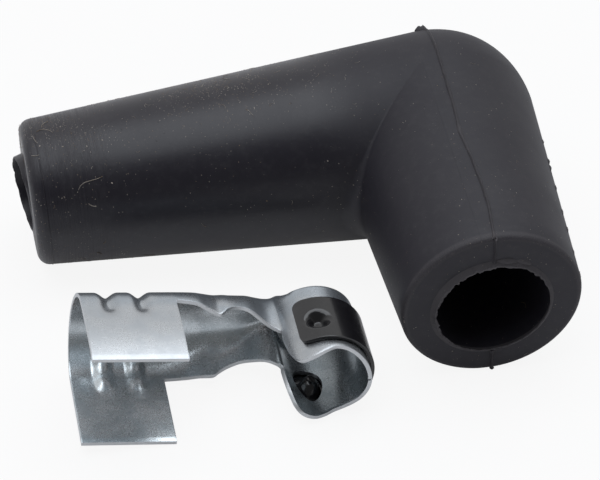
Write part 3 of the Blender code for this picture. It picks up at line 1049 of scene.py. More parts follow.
    def bores(self) -> list[bpy.types.Object]:
        """Make the solids that cut the bores.

        Returns:
            The plug bore, with its round end, and the wire bore.
        """
        out = self.plug_length + self.elbow / 2
        profile = [(0.0, -out), (self.plug_bore, -out)]
        for turn in steps(0, math.pi / 2, 16):
            profile.append((self.plug_bore * math.cos(turn), self.plug_bore * math.sin(turn)))
        plug_place = Matrix.Translation((0, 0, -self.bore_drop)) @ Matrix.Rotation(-math.pi / 2, 4, "X")
        out = self.wire_length + self.elbow / 2
        straight = [(0.0, 0.0), (self.wire_bore, 0.0), (self.wire_bore, out), (0.0, out)]
        wire_place = Matrix.Rotation(-math.pi / 2, 4, "Y")
        return [turned("plug_bore", profile, self.bore_sides[0], plug_place),
                turned("wire_bore", straight, self.bore_sides[1], wire_place)]

    def wire_lip(self) -> bpy.types.Object:
        """Make the thin ragged lip round the wire hole, which stands up at its upper back.

        Returns:
            The object, in the boot's own frame.
        """
        torn = Wander(5)
        skin = Skin()
        rows = []
        inner = self.wire_bore
        for k, angle in enumerate(circle(self.wire_lip_sides)):
            share = ((1 + math.cos(angle - self.lip_peak)) / 2) ** self.lip_falloff
            height = self.lip_low + (self.lip_high - self.lip_low) * share
            height *= 1 + self.lip_tear * torn.rough(k / 5)
            outer = inner + self.lip_wall + self.lip_waver * torn.at(k / 9 + 40)
            foot = outer + self.lip_foot
            section = ((inner, -self.lip_root), (inner - 0.01, height / 2), (inner + 0.03, height),
                       (inner + 0.1, height), (outer, height / 2), (foot, 0.0), (foot, -self.lip_root))
            points = [(-self.wire_length - rise, radius * math.cos(angle), radius * math.sin(angle))
                      for radius, rise in section]
            rows.append(skin.row(points + points[:1]))
        skin.weave(rows, closed=True)
        return show("wire_lip", skin.mesh("wire_lip"))

    def bore_lip(self) -> bpy.types.Object:
        """Make the ragged flash round the mouth of the plug bore, widest at its upper left.

        Returns:
            The object, in the boot's own frame.
        """
        torn, tip = Wander(17), Wander(23)
        skin = Skin()
        rows = []
        for k, angle in enumerate(circle(self.bore_lip_sides)):
            upper = (1 + math.cos(angle - self.bore_lip_peak)) / 2
            reach = (self.bore_lip_reach + self.bore_lip_reach_more * upper) * (1 + 0.5 * torn.rough(k / 3.5))
            rise = (self.bore_lip_rise + self.bore_lip_rise_more * upper) * (1 + 0.35 * tip.rough(k / 5))
            foot = self.bore_lip_foot + self.bore_lip_foot_more * upper
            section = ((-foot, -0.03), (-0.1 - 0.14 * upper, 0.05), (reach * 0.3, rise), (reach, rise * 0.75),
                       (reach * 0.6, rise * 0.35 - 0.04), (0.0, -self.bore_lip_root),
                       (-foot, -self.bore_lip_root))
            points = []
            for inward, out in section:
                radius = self.plug_bore - inward
                height = radius * math.sin(angle) - self.bore_drop
                points.append((radius * math.cos(angle), -self.mouth_distance(height) - out, height))
            rows.append(skin.row(points + points[:1]))
        skin.weave(rows, closed=True)
        return show("bore_lip", skin.mesh("bore_lip"))

    def parting_path(self) -> list[tuple[Vector, Vector]]:
        """Follow the mould's parting line from the mouth round the back to the mouth.

        Returns:
            Points on the surface, each with the direction away from it.
        """
        path = []
        lean = math.atan(self.plug_taper)
        for side in (1, -1):
            leg = []
            end = self.mouth_distance(side * self.plug_end)
            for distance in steps(end, 0.4, 90):
                leg.append((Vector((0, -distance, side * self.plug_radius(distance))),
                            Vector((0, -math.sin(lean), side * math.cos(lean)))))
            if side == 1:
                path += leg
                for angle in steps(math.pi / 2, -math.pi / 2, 100):
                    out = Vector((0, math.cos(angle), math.sin(angle)))
                    path.append((out * self.elbow, out))
            else:
                path += reversed(leg)
        return path

    def parting_flash(self) -> bpy.types.Object:
        """Make the raised line where the mould's halves met, which wavers and is wider for a stretch.

        Returns:
            The object, in the boot's own frame.
        """
        sway, swell = Wander(31), Wander(37)
        skin = Skin()
        run = 0.0
        rows = []
        path = self.parting_path()
        for k, (point, out) in enumerate(path):
            if k:
                run += (point - path[k - 1][0]).length
            shift = self.flash_sway * sway.rough(run / 2.2)
            wide = self.flash_width * (1 + self.flash_swell * swell.rough(run / 0.8))
            high = self.flash_height * (1 + self.flash_swell * swell.rough(run / 0.6 + 50))
            if point.z < 0:
                high *= self.flash_below
            else:
                doubling = max(0.0, 1 - abs(-point.y - self.doubled) / self.doubled_reach)
                wide *= 1 + self.doubled_width * doubling
                raised = min(point.z / (self.elbow / 2), 1.0)
                shift += read_table(self.drift, -point.y)[0] * raised
            points = [point + out * (high * rise) + Vector((shift + wide * across, 0, 0))
                      for across, rise in self.flash_section]
            rows.append(skin.row(points + points[:1]))
        skin.weave(rows)
        skin.lid(rows[0][:-1])
        skin.lid(rows[-1][:-1])
        return show("parting_flash", skin.mesh("parting_flash"))

    def face_ridge(self) -> bpy.types.Object:
        """Make the parting line across the mouth's flat face, above and below the bore.

        Returns:
            The object, in the boot's own frame.
        """
        sway = Wander(41)
        skin = Skin()
        parts = 16
        for side in (1, -1):
            rows = []
            inner, outer = self.plug_bore - side * self.bore_drop + 0.05, self.plug_end - 0.12
            for k, height in enumerate(steps(inner, outer, parts)):
                level = side * height
                face = -self.mouth_distance(level)
                shift = self.ridge_sway * sway.rough(k / 3 + 20 * side)
                if side == 1:
                    shift += self.ridge_shift * (1 + (k / parts) ** 2)
                stout = 1 + 1.2 * max(0.0, 1 - k / 4)
                points = [(shift + across * stout, face - rise, level) for across, rise in self.ridge_section]
                rows.append(skin.row(points + points[:1]))
            skin.weave(rows)
            skin.lid(rows[0][:-1])
            skin.lid(rows[-1][:-1])
        return show("face_ridge", skin.mesh("face_ridge"))

    def torn_nubs(self) -> bpy.types.Object:
        """Make the torn bits on the back of the elbow, along the plug leg's outer side and by its bore.

        Returns:
            The bits as one object, in the boot's own frame.
        """
        skin = Skin()
        right, front = Vector((1, 0, 0)), Vector((0, -1, 0))
        out = Vector((0, math.cos(self.back_nub), math.sin(self.back_nub)))
        self.nub(skin, out * self.elbow + right * self.back_nub_shift, out, right, *self.back_nub_size, 3)
        outward = Vector((-math.cos(self.nub_side), 0, math.sin(self.nub_side)))
        for n, (distance, tall) in enumerate(self.nubs):
            foot = self.plug_point(distance, self.plug_radius(distance), self.nub_side)
            self.nub(skin, foot, outward, front, self.nub_reach, tall, 60 + n)
        for across, height, wide, tall, seed in self.flaps:
            foot = Vector((across, -self.mouth_distance(height), height))
            along = Vector((-height - self.bore_drop, 0, across)).normalized()
            self.nub(skin, foot, front, along, wide, tall, seed)
        return show("torn_nubs", skin.mesh("torn_nubs"))

    @staticmethod
    def nub(skin: Skin, foot: Vector, out: Vector, along: Vector, wide: float, tall: float,
            seed: int) -> None:
        """Add one torn bit, which is flat, ragged and narrower at its top.

        Args:
            skin: The mesh it goes to.
            foot: Its middle on the surface.
            out: Direction away from the surface.
            along: Direction of its longer side.
            wide: Half its length.
            tall: Its height.
            seed: Seed of its ragged outline.
        """
        torn = Wander(seed)
        across = out.cross(along)
        rows = []
        for k, angle in enumerate(circle(12)):
            stretch = 1 + 0.35 * torn.rough(k * 1.3)
            row = []
            for level, size in ((-0.5, 1.0), (0.15, 0.95), (0.6, 0.7), (1.0, 0.35)):
                reach = wide * size * stretch
                lift = tall * level * (1 + 0.3 * torn.at(k * 2.1 + level))
                aside = across * (0.35 * reach * math.sin(angle))
                row.append(foot + along * (reach * math.cos(angle)) + aside + out * lift)
            rows.append(skin.row(row))
        skin.weave(rows, closed=True)
        skin.lid([row[0] for row in rows])
        skin.lid([row[-1] for row in reversed(rows)])

    def build(self) -> list[bpy.types.Object]:
        """Build and dress the boot's pieces.

        Returns:
            The boot itself and then its small forms.
        """
        rubber = MouldedRubber(self.place).material("boot_rubber")
        thin = MouldedRubber(self.place, flash=1.0).material("rubber_flash")
        torn = MouldedRubber(self.place, flash=2.0).material("torn_rubber")
        pieces = [self.outside(), self.wire_lip(), self.bore_lip(), self.parting_flash(), self.face_ridge(),
                  self.torn_nubs()]
        for piece, finish in zip(pieces, (rubber, rubber, torn, thin, thin, torn)):
            crisp(piece, 40)
            carry(piece, self.place)
            piece.data.materials.clear()
            piece.data.materials.append(finish)
            adopt(piece)
        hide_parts("boot")
        return pieces


def adopt(piece: bpy.types.Object) -> None:
    """Let a piece ride on the root body and log how many faces it has.

    Args:
        piece: The piece, in the row frame.
    """
    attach(piece, BODY)
    LOG.info("%s: %d faces", piece.name, len(piece.data.polygons))


# The terminal and its clip


@dataclass
class Terminal:
    """The folded sheet: crimp barrel, narrowing channel and split ring.

    In its own frame +X points along the barrel and +Y to its open side. Y is 0 at the wings' edges, and a
    depth is measured from there. Lengths are in millimetres but for the origin, and angles are in radians
    unless a unit is given.

    Args:
        origin: The frame's origin in the row frame, in metres.
        yaw: Turn of the terminal about the vertical, in degrees.
        lean_front: Its lean towards the front, in degrees.
        lean_ring: Its lean towards the ring, in degrees.
        sheet: Thickness of the real sheet, over which the clip fits.
        shown_sheet: Thickness of the sheet that is shown.
        barrel_length: Length of the barrel.
        depth: Depth of the web's middle surface.
        mouth: Half the distance between the wings' edges.
        squareness: How square the barrel's corners are, as a power.
        shoulder_height: Height over the web of the strap's edge at the barrel.
        shoulder_width: Half the strap's width there.
        strap_length: Length of the narrowing strap.
        neck_width: Half its width at the ring.
        neck_height: Height of its edge over the web there.
        neck_squareness: How square its corners are there, as a power.
        ring: Radius of the ring's middle surface.
        ring_front: Depth of the ring's front edge.
        ring_rear: Depth of its rear edge.
        seam: Width of the gap between its ends.
        grooves: How many grooves are pressed into the barrel.
        groove_depth: How deep they are pressed.
        groove_width: Their width.
        groove_pitch: Distance from one to the next.
        groove_inset: Distance of the first from the barrel's end.
        groove_start: Depth at which they begin.
        groove_fade: Depth over which they come to their full size.
        groove_skew: How far they are shifted on the lower wing.
        hole_width: Width of a grip hole at its middle.
        hole_length: Its length.
        hole_narrowing: How much narrower it gets towards the front, as a share.
        upper_grip: Angle of the upper grip hole round the ring.
        lower_grip: Angle of the lower one.
        grip_depth: Depth of their middles.
        curl: How far the upper wing's edge is curled in.
        curl_length: Depth over which the curl fades.
        set_angle: Angle of the small bend in the strap.
        set_start: Distance of the bend from the barrel.
        set_length: Its length.
        barrel_rows: Into how many parts the barrel is divided along its length.
        wing_steps: Into how many parts each wing is divided.
        channel_steps: Into how many parts the channel's section is divided.
        strap_rows: Into how many parts the strap is divided along its length.
        ring_rows: Into how many parts each half of the ring is divided round it.
        front_steps: Into how many parts it is divided in front of the strap's edge.
        rear_steps: Into how many parts it is divided behind that edge.
        tongue_rows: How many of those rows the web is carried on behind the neck.
        tongue_fade: How far its hollow fades there, as a share.
        ease_reach: How far from the fold at the ring the sheet is eased.
        ease_margin: How far behind the ring's front edge the easing begins.
        ease_repeats: How often the sheet is eased.
        ease_shares: Shares of the way to the mean of the neighbours, there and back.
        strap_shape: By share of the strap's length, how far its height, width and squareness have gone from
            the barrel's to the neck's.
        cheek_edges: By degrees round the ring, how far its front edge stands back and its rear edge reaches
            past.
    """

    origin: Point = (-0.012759374, -0.018678082, 0.004939469)
    yaw: float = 0.1
    lean_front: float = 1.0
    lean_ring: float = 6.739674
    sheet: float = 0.45
    shown_sheet: float = 0.34
    barrel_length: float = 8.1
    depth: float = 11.15
    mouth: float = 4.75
    squareness: float = 1.85
    shoulder_height: float = 3.55
    shoulder_width: float = 4.4
    strap_length: float = 9.4
    neck_width: float = 1.85
    neck_height: float = 5.3
    neck_squareness: float = 4.5
    ring: float = 3.6
    ring_front: float = 1.15
    ring_rear: float = 9.4
    seam: float = 0.2
    grooves: int = 2
    groove_depth: float = 0.5
    groove_width: float = 2.1
    groove_pitch: float = 2.8
    groove_inset: float = 2.4
    groove_start: float = 5.9
    groove_fade: float = 0.9
    groove_skew: float = 0.45
    hole_width: float = 2.45
    hole_length: float = 3.9
    hole_narrowing: float = 0.28
    upper_grip: float = math.radians(95)
    lower_grip: float = math.radians(105)
    grip_depth: float = 4.6
    curl: float = 0.42
    curl_length: float = 5.0
    set_angle: float = math.radians(6.3)
    set_start: float = 3.0
    set_length: float = 6.0
    barrel_rows: int = 64
    wing_steps: int = 12
    channel_steps: int = 60
    strap_rows: int = 52
    ring_rows: int = 56
    front_steps: int = 14
    rear_steps: int = 18
    tongue_rows: int = 11
    tongue_fade: float = 0.6
    ease_reach: float = 2.2
    ease_margin: float = 0.6
    ease_repeats: int = 56
    ease_shares: tuple[float, float] = (0.5, -0.52)
    strap_shape: tuple[tuple[float, float, float, float], ...] = (
        (0.0, 0.0, 0.0, 0.0), (0.2, 0.07, 0.11, 0.1), (0.31, 0.25, 0.28, 0.25), (0.4, 0.42, 0.39, 0.35),
        (0.44, 0.36, 0.385, 0.32), (0.49, 0.08, 0.38, 0.25), (0.56, -0.15, 0.43, 0.2),
        (0.66, -0.26, 0.54, 0.28), (0.72, -0.2, 0.62, 0.41), (0.78, -0.02, 0.73, 0.56), (0.86, 0.3, 0.9, 0.8),
        (0.93, 0.65, 0.98, 0.92), (1.0, 1.0, 0.97, 1.0))
    cheek_edges: tuple[tuple[float, float, float], ...] = (
        (0.0, -0.2, 0.0), (20.0, -0.05, 0.0), (36.0, 0.1, 0.0), (52.0, 0.3, 0.0), (66.0, 0.4, 0.0),
        (79.0, 0.33, 0.0), (92.0, -0.05, 0.0), (106.0, -0.4, 0.0), (120.0, -0.45, 0.0), (131.0, -0.2, 0.1),
        (139.0, 0.5, 0.3), (144.0, 1.3, 0.4), (147.0, 2.2, 0.4), (149.0, 3.6, 0.45))

    def __post_init__(self) -> None:
        """Work out the place, the neck's angle and the ring's centre."""
        self.place = Place(self.origin, terminal_turn(self.yaw, self.lean_front, self.lean_ring))
        self.neck = math.pi - math.asin(self.neck_width / self.ring)
        self.centre = -self.strap_length + self.ring * math.cos(self.neck)

    def beyond(self) -> Matrix:
        """Work out where the small bend in the strap carries everything past it.

        Returns:
            The move from the straight terminal to the bent one.
        """
        radius = self.set_length / self.set_angle
        start = Matrix.Translation((-self.set_start, 0, radius))
        back = Matrix.Translation((self.set_start + self.set_length, 0, -radius))
        return start @ Matrix.Rotation(self.set_angle, 4, "Y") @ back

    def bent(self, point: Vector) -> Vector:
        """Work out where the bend in the strap carries one point of the straight terminal.

        Args:
            point: The point.

        Returns:
            The point after the bend.
        """
        run = -self.set_start - point.x
        if run <= 0:
            return point
        if run >= self.set_length:
            return self.beyond() @ point
        radius = self.set_length / self.set_angle
        turn = run / radius
        reach = point.z - radius
        return Vector((-self.set_start + reach * math.sin(turn), point.y, radius + reach * math.cos(turn)))

    def channel(self, height: float, width: float, square: float) -> list[Vector]:
        """Evenly spaced (y, z) points of the channel's curve.

        Args:
            height: Height of its edge over the web.
            width: Half its width at the edge.
            square: How square its corners are.

        Returns:
            The points, from the upper edge round the web to the lower edge.
        """
        dense = 600
        turn = np.linspace(0, math.pi, dense + 1)
        across = np.sign(np.cos(turn)) * np.abs(np.cos(turn)) ** (2 / square)
        down = np.clip(np.sin(turn), 0, 1) ** (2 / square)
        curve = np.stack([-self.depth + height * (1 - down), width * across], 1)
        lengths = np.concatenate([[0], np.cumsum(np.linalg.norm(np.diff(curve, axis=0), axis=1))])
        wanted = np.linspace(0, lengths[-1], self.channel_steps + 1)
        columns = [np.interp(wanted, lengths, curve[:, n]) for n in (0, 1)]
        return [Vector((float(y), float(z))) for y, z in zip(*columns)]

    def press(self, place: float) -> float:
        """Depth of the pressed grooves at a place along the barrel.

        Args:
            place: The place, in millimetres from the strap.

        Returns:
            The depth.
        """
        for k in range(self.grooves):
            centre = self.barrel_length - self.groove_inset - self.groove_pitch * k
            share = abs(place - centre) / (self.groove_width / 2)
            if share < 1:
                return self.groove_depth * (1 + math.cos(math.pi * share)) / 2
        return 0.0

    def barrel_section(self, place: float) -> list[Vector]:
        """Lay out the barrel's section at one place along it.

        Args:
            place: The place, in millimetres from the strap.

        Returns:
            (y, z) points from the upper wing's edge round the web to the lower wing's edge.
        """
        channel = self.channel(self.shoulder_height, self.shoulder_width, self.squareness)
        edge = Vector((0, self.mouth))
        wing = [edge.lerp(channel[0], k / self.wing_steps) for k in range(self.wing_steps)]
        curled = [p - Vector((0, self.curl * max(0.0, 1 + p.x / self.curl_length) ** 2)) for p in wing]
        points = curled + channel + [Vector((p.x, -p.y)) for p in reversed(wing)]
        middle = Vector((-self.depth + self.shoulder_width, 0))
        moved = []
        for point in points:
            below = clamp((-point.x - self.groove_start) / self.groove_fade)
            press = self.press(place + self.groove_skew * clamp(-point.y / 3))
            moved.append(point + (middle - point).normalized() * press * ease(below))
        return moved

    def sheet_middle(self) -> bpy.types.Mesh:
        """Make the middle surface of the folded sheet.

        Returns:
            The mesh, in the terminal's own frame.
        """
        skin = Skin()

        def section_row(place: float, section: Sequence[Vector]) -> list[Any]:
            """A section of the straight terminal as a row of the bent one."""
            return skin.row([self.bent(Vector((place, p.x, p.y))) for p in section])

        places = steps(self.barrel_length, 0, self.barrel_rows)
        barrel = [section_row(place, self.barrel_section(place)) for place in places]
        skin.weave(barrel)
        strap = [barrel[-1][self.wing_steps:self.wing_steps + self.channel_steps + 1]]
        for share in steps(0, 1, self.strap_rows)[1:]:
            height, width, square = read_table(self.strap_shape, share)
            section = self.channel(
                self.shoulder_height + (self.neck_height - self.shoulder_height) * height,
                self.shoulder_width + (self.neck_width - self.shoulder_width) * width,
                self.squareness + (self.neck_squareness - self.squareness) * square)
            strap.append(section_row(-share * self.strap_length, section))
        skin.weave(strap)
        upper = self.cheek(skin, strap[-1], 1)
        lower = self.cheek(skin, list(reversed(strap[-1])), -1)
        self.tongue(skin, strap[-1][self.rear_steps:-self.rear_steps], upper, lower)
        self.ease_neck(skin)
        return skin.mesh("terminal_skin")

    def tongue(self, skin: Skin, web: Sequence[Any], upper: Sequence[Any], lower: Sequence[Any]) -> None:
        """Carry the strap's web on between the ring's two halves, where it fades out.

        Args:
            skin: The mesh it goes to.
            web: The vertices of the web's end.
            upper: The rear vertices of the ring's upper half, from the neck on.
            lower: The rear vertices of its lower half.
        """
        first, last = upper[0].co.copy(), lower[0].co.copy()
        spans = len(web) - 1
        shape = [v.co - first.lerp(last, n / spans) for n, v in enumerate(web)]
        rows = [list(web)]
        for k in range(1, self.tongue_rows + 1):
            fade = 1 - self.tongue_fade * (k / self.tongue_rows) ** 2
            start, end = upper[k], lower[k]
            inner = [start.co.lerp(end.co, n / spans) + shape[n] * fade for n in range(1, spans)]
            rows.append([start] + skin.row(inner) + [end])
        skin.weave(rows)

    def ease_neck(self, skin: Skin) -> None:
        """Round the fold where the strap flares into the ring, without making the sheet smaller.

        Each vertex moves towards the mean of its neighbours and then a little further back. A vertex on the
        sheet's edge heeds only its neighbours on that edge.

        Args:
            skin: The sheet's mesh.
        """
        fold = self.bent(Vector((-self.strap_length, 0, 0))).x
        front = -self.ring_front - self.ease_margin
        near = [v for v in skin.form.verts if abs(v.co.x - fold) < self.ease_reach and v.co.y < front]
        beside = [[e.other_vert(v) for e in v.link_edges if e.is_boundary or not v.is_boundary] for v in near]
        for _ in range(self.ease_repeats):
            for share in self.ease_shares:
                means = [sum((o.co for o in others), Vector()) / len(others) for others in beside]
                shifts = [(mean - v.co) * share for v, mean in zip(near, means)]
                for v, shift in zip(near, shifts):
                    v.co += shift

    def cheek(self, skin: Skin, neck: Sequence[Any], side: int) -> list[Any]:
        """Add one half of the ring.

        Args:
            skin: The mesh it goes to.
            neck: The vertices of the strap's last row, from this half's edge on.
            side: 1 for the upper half and -1 for the lower.

        Returns:
            The half's rear vertices, from the neck to the seam.
        """
        shoulder = self.depth - self.neck_height
        last = math.asin(self.seam / 2 / self.ring)
        rows = []
        for k in range(self.ring_rows + 1):
            angle = self.neck + (last - self.neck) * k / self.ring_rows
            stand_back, reach_back = read_table(self.cheek_edges, math.degrees(angle))
            edge, rear = self.ring_front + stand_back, self.ring_rear + reach_back
            x = self.centre - self.ring * math.cos(angle)
            z = side * self.ring * math.sin(angle)
            depths = [edge + (shoulder - edge) * n / self.front_steps for n in range(self.front_steps)]
            depths += steps(shoulder, rear, self.rear_steps)
            if k == 0:
                head = [self.bent(Vector((x, -depth, z))) for depth in depths[:self.front_steps]]
                row = skin.row(head) + list(neck[:self.rear_steps + 1])
            else:
                row = skin.row([self.bent(Vector((x, -depth, z))) for depth in depths])
            rows.append(row)
        skin.weave(rows)
        return [row[-1] for row in rows]

    def grip_hole(self, side: int, angle: float) -> bpy.types.Object:
        """The solid of one grip hole, which is longer than it is wide and narrows towards the front.

        Args:
            side: 1 for the upper half of the ring and -1 for the lower.
            angle: Its angle round the ring.

        Returns:
            The solid.
        """
        skin = Skin()
        middle = (self.centre - self.ring * math.cos(angle), -self.grip_depth, 0)
        where = self.beyond() @ Matrix.Translation(middle)
        levels = (side * self.ring * 0.5, side * (self.ring + self.sheet * 2))
        rows = []
        for turn in circle(48):
            across = self.hole_width / 2 * math.cos(turn) * (1 - self.hole_narrowing * math.sin(turn))
            along = self.hole_length / 2 * math.sin(turn)
            rows.append(skin.row([where @ Vector((across, along, level)) for level in levels]))
        skin.weave(rows, closed=True)
        skin.lid([row[0] for row in rows])
        skin.lid([row[-1] for row in reversed(rows)])
        return show("grip_hole", skin.mesh("grip_hole"))

    def build(self) -> bpy.types.Object:
        """Build and dress the terminal.

        Returns:
            The finished piece.
        """
        terminal = show("terminal_skin", self.sheet_middle())
        thicken = terminal.modifiers.new("Sheet", "SOLIDIFY")
        thicken.thickness = self.shown_sheet
        thicken.offset = 0.0
        thicken.use_even_offset = True
        thicken.material_offset = 1
        thicken.material_offset_rim = 2
        outer = PlatedSheet(self.place, stain=(0.4, 0.44, 0.48))
        # The inside faces get a lighter, bluer copy of the plating as painted light, with painted shade
        # between the barrel and the ring.
        inner = PlatedSheet(self.place, bright=(0.72, 0.77, 0.8), dull=(0.41, 0.48, 0.52), roughness=0.28,
                            shade=0.6)
        for finish in (outer.material("plated_steel"), inner.material("plated_steel_inside_painted_light_and_shade"),
                       PlatedSheet(self.place, edge=True).material("sheared_edge")):
            terminal.data.materials.append(finish)
        soften(terminal, 0.07)
        settle(terminal)
        holes = [self.grip_hole(1, self.upper_grip), self.grip_hole(-1, self.lower_grip)]
        cut(terminal, holes, Cut.REMOVE)
        crisp(terminal, 50)
        carry(terminal, self.place)
        adopt(terminal)
        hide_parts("terminal")
        return terminal


def soften(item: bpy.types.Object, width: float) -> None:
    """Round an object's sharp edges with a small bevel.

    Args:
        item: The object.
        width: Width of the bevel.
    """
    bevel = item.modifiers.new("Edges", "BEVEL")
    bevel.width = width
    bevel.segments = 2
    bevel.limit_method = "ANGLE"
    bevel.angle_limit = math.radians(50)


@dataclass
class SpringClip:
    """The black band round the ring, with a dimple on each side that reaches into the ring's hole.

    Lengths are in millimetres and depths are the terminal's.

    Args:
        terminal: The terminal that it sits on.
        clearance: Gap between the ring and the band.
        sheet: Thickness of the band.
        front: Depth of its front edge.
        width: Its width.
        reach: Angle from its middle to each end, in radians.
        corner: Radius of its rounded corners.
        dimple: Radius of a dimple.
        lower_depth: How deep the lower dimple is pressed.
        upper_depth: How deep the upper one is pressed.
        dimple_end: Radius of a dimple's flat end.
        rounds: Into how many parts the band is divided round the ring.
        parts: Into how many parts it is divided across.
    """

    terminal: Terminal
    clearance: float = 0.1
    sheet: float = 0.3
    front: float = 2.2
    width: float = 5.2
    reach: float = math.radians(121)
    corner: float = 0.8
    dimple: float = 1.25
    lower_depth: float = 1.3
    upper_depth: float = 0.85
    dimple_end: float = 0.42
    rounds: int = 168
    parts: int = 44

    def inset(self, across: float) -> float:
        """How far the rounded corners pull the band's ends back."""
        into = self.corner - min(across, self.width - across)
        return self.corner - math.sqrt(max(self.corner ** 2 - into ** 2, 0.0)) if into > 0 else 0.0

    def middle(self) -> bpy.types.Mesh:
        """Make the middle surface of the band.

        Returns:
            The mesh, in the terminal's own frame.
        """
        host = self.terminal
        radius = host.ring + host.sheet / 2 + self.clearance + self.sheet / 2
        skin = Skin()
        rows = []
        place = host.beyond() @ Matrix.Translation((host.centre, 0, 0))
        for angle in steps(-self.reach, self.reach, self.rounds):
            row = []
            for across in steps(0, self.width, self.parts):
                limit = self.reach - self.inset(across) / radius
                turned_to = math.copysign(min(abs(angle), limit), angle)
                grip, deep = host.lower_grip, self.lower_depth
                if turned_to > 0:
                    grip, deep = host.upper_grip, self.upper_depth
                away = math.hypot((abs(turned_to) - grip) * radius, across + self.front - host.grip_depth)
                press = 0.0
                if away < self.dimple:
                    share = min((self.dimple - away) / (self.dimple - self.dimple_end), 1.0)
                    press = deep * ease(share)
                r = radius - press
                point = Vector((-r * math.cos(turned_to), -self.front - across, r * math.sin(turned_to)))
                row.append(place @ point)
            rows.append(skin.row(row))
        skin.weave(rows)
        return skin.mesh("clip_skin", 0.004)

    def build(self) -> bpy.types.Object:
        """Build and dress the clip.

        Returns:
            The finished piece.
        """
        clip = show("clip_skin", self.middle())
        thicken = clip.modifiers.new("Sheet", "SOLIDIFY")
        thicken.thickness = self.sheet
        thicken.offset = 0.0
        soften(clip, 0.05)
        settle(clip)
        clip.data.materials.append(BlackSpring(self.terminal.place).material("black_spring_steel"))
        crisp(clip, 50)
        carry(clip, self.terminal.place)
        adopt(clip)
        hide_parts("spring_clip")
        return clip


# Dust and lint


def add_node(tree: bpy.types.NodeTree, kind: str, settings: dict[str, Any], inputs: dict[Any, Any]) -> Any:
    """Add a node to a tree that is no material's.

    Args:
        tree: The tree.
        kind: The node's type.
        settings: Its properties, set before its sockets.
        inputs: Values, or output sockets to link, by the input's name or number.

    Returns:
        The node.
    """
    node = tree.nodes.new(kind)
    for key, value in settings.items():
        setattr(node, key, value)
    for key, value in inputs.items():
        if isinstance(value, bpy.types.NodeSocket):
            tree.links.new(value, node.inputs[key])
        else:
            node.inputs[key].default_value = value
    return node


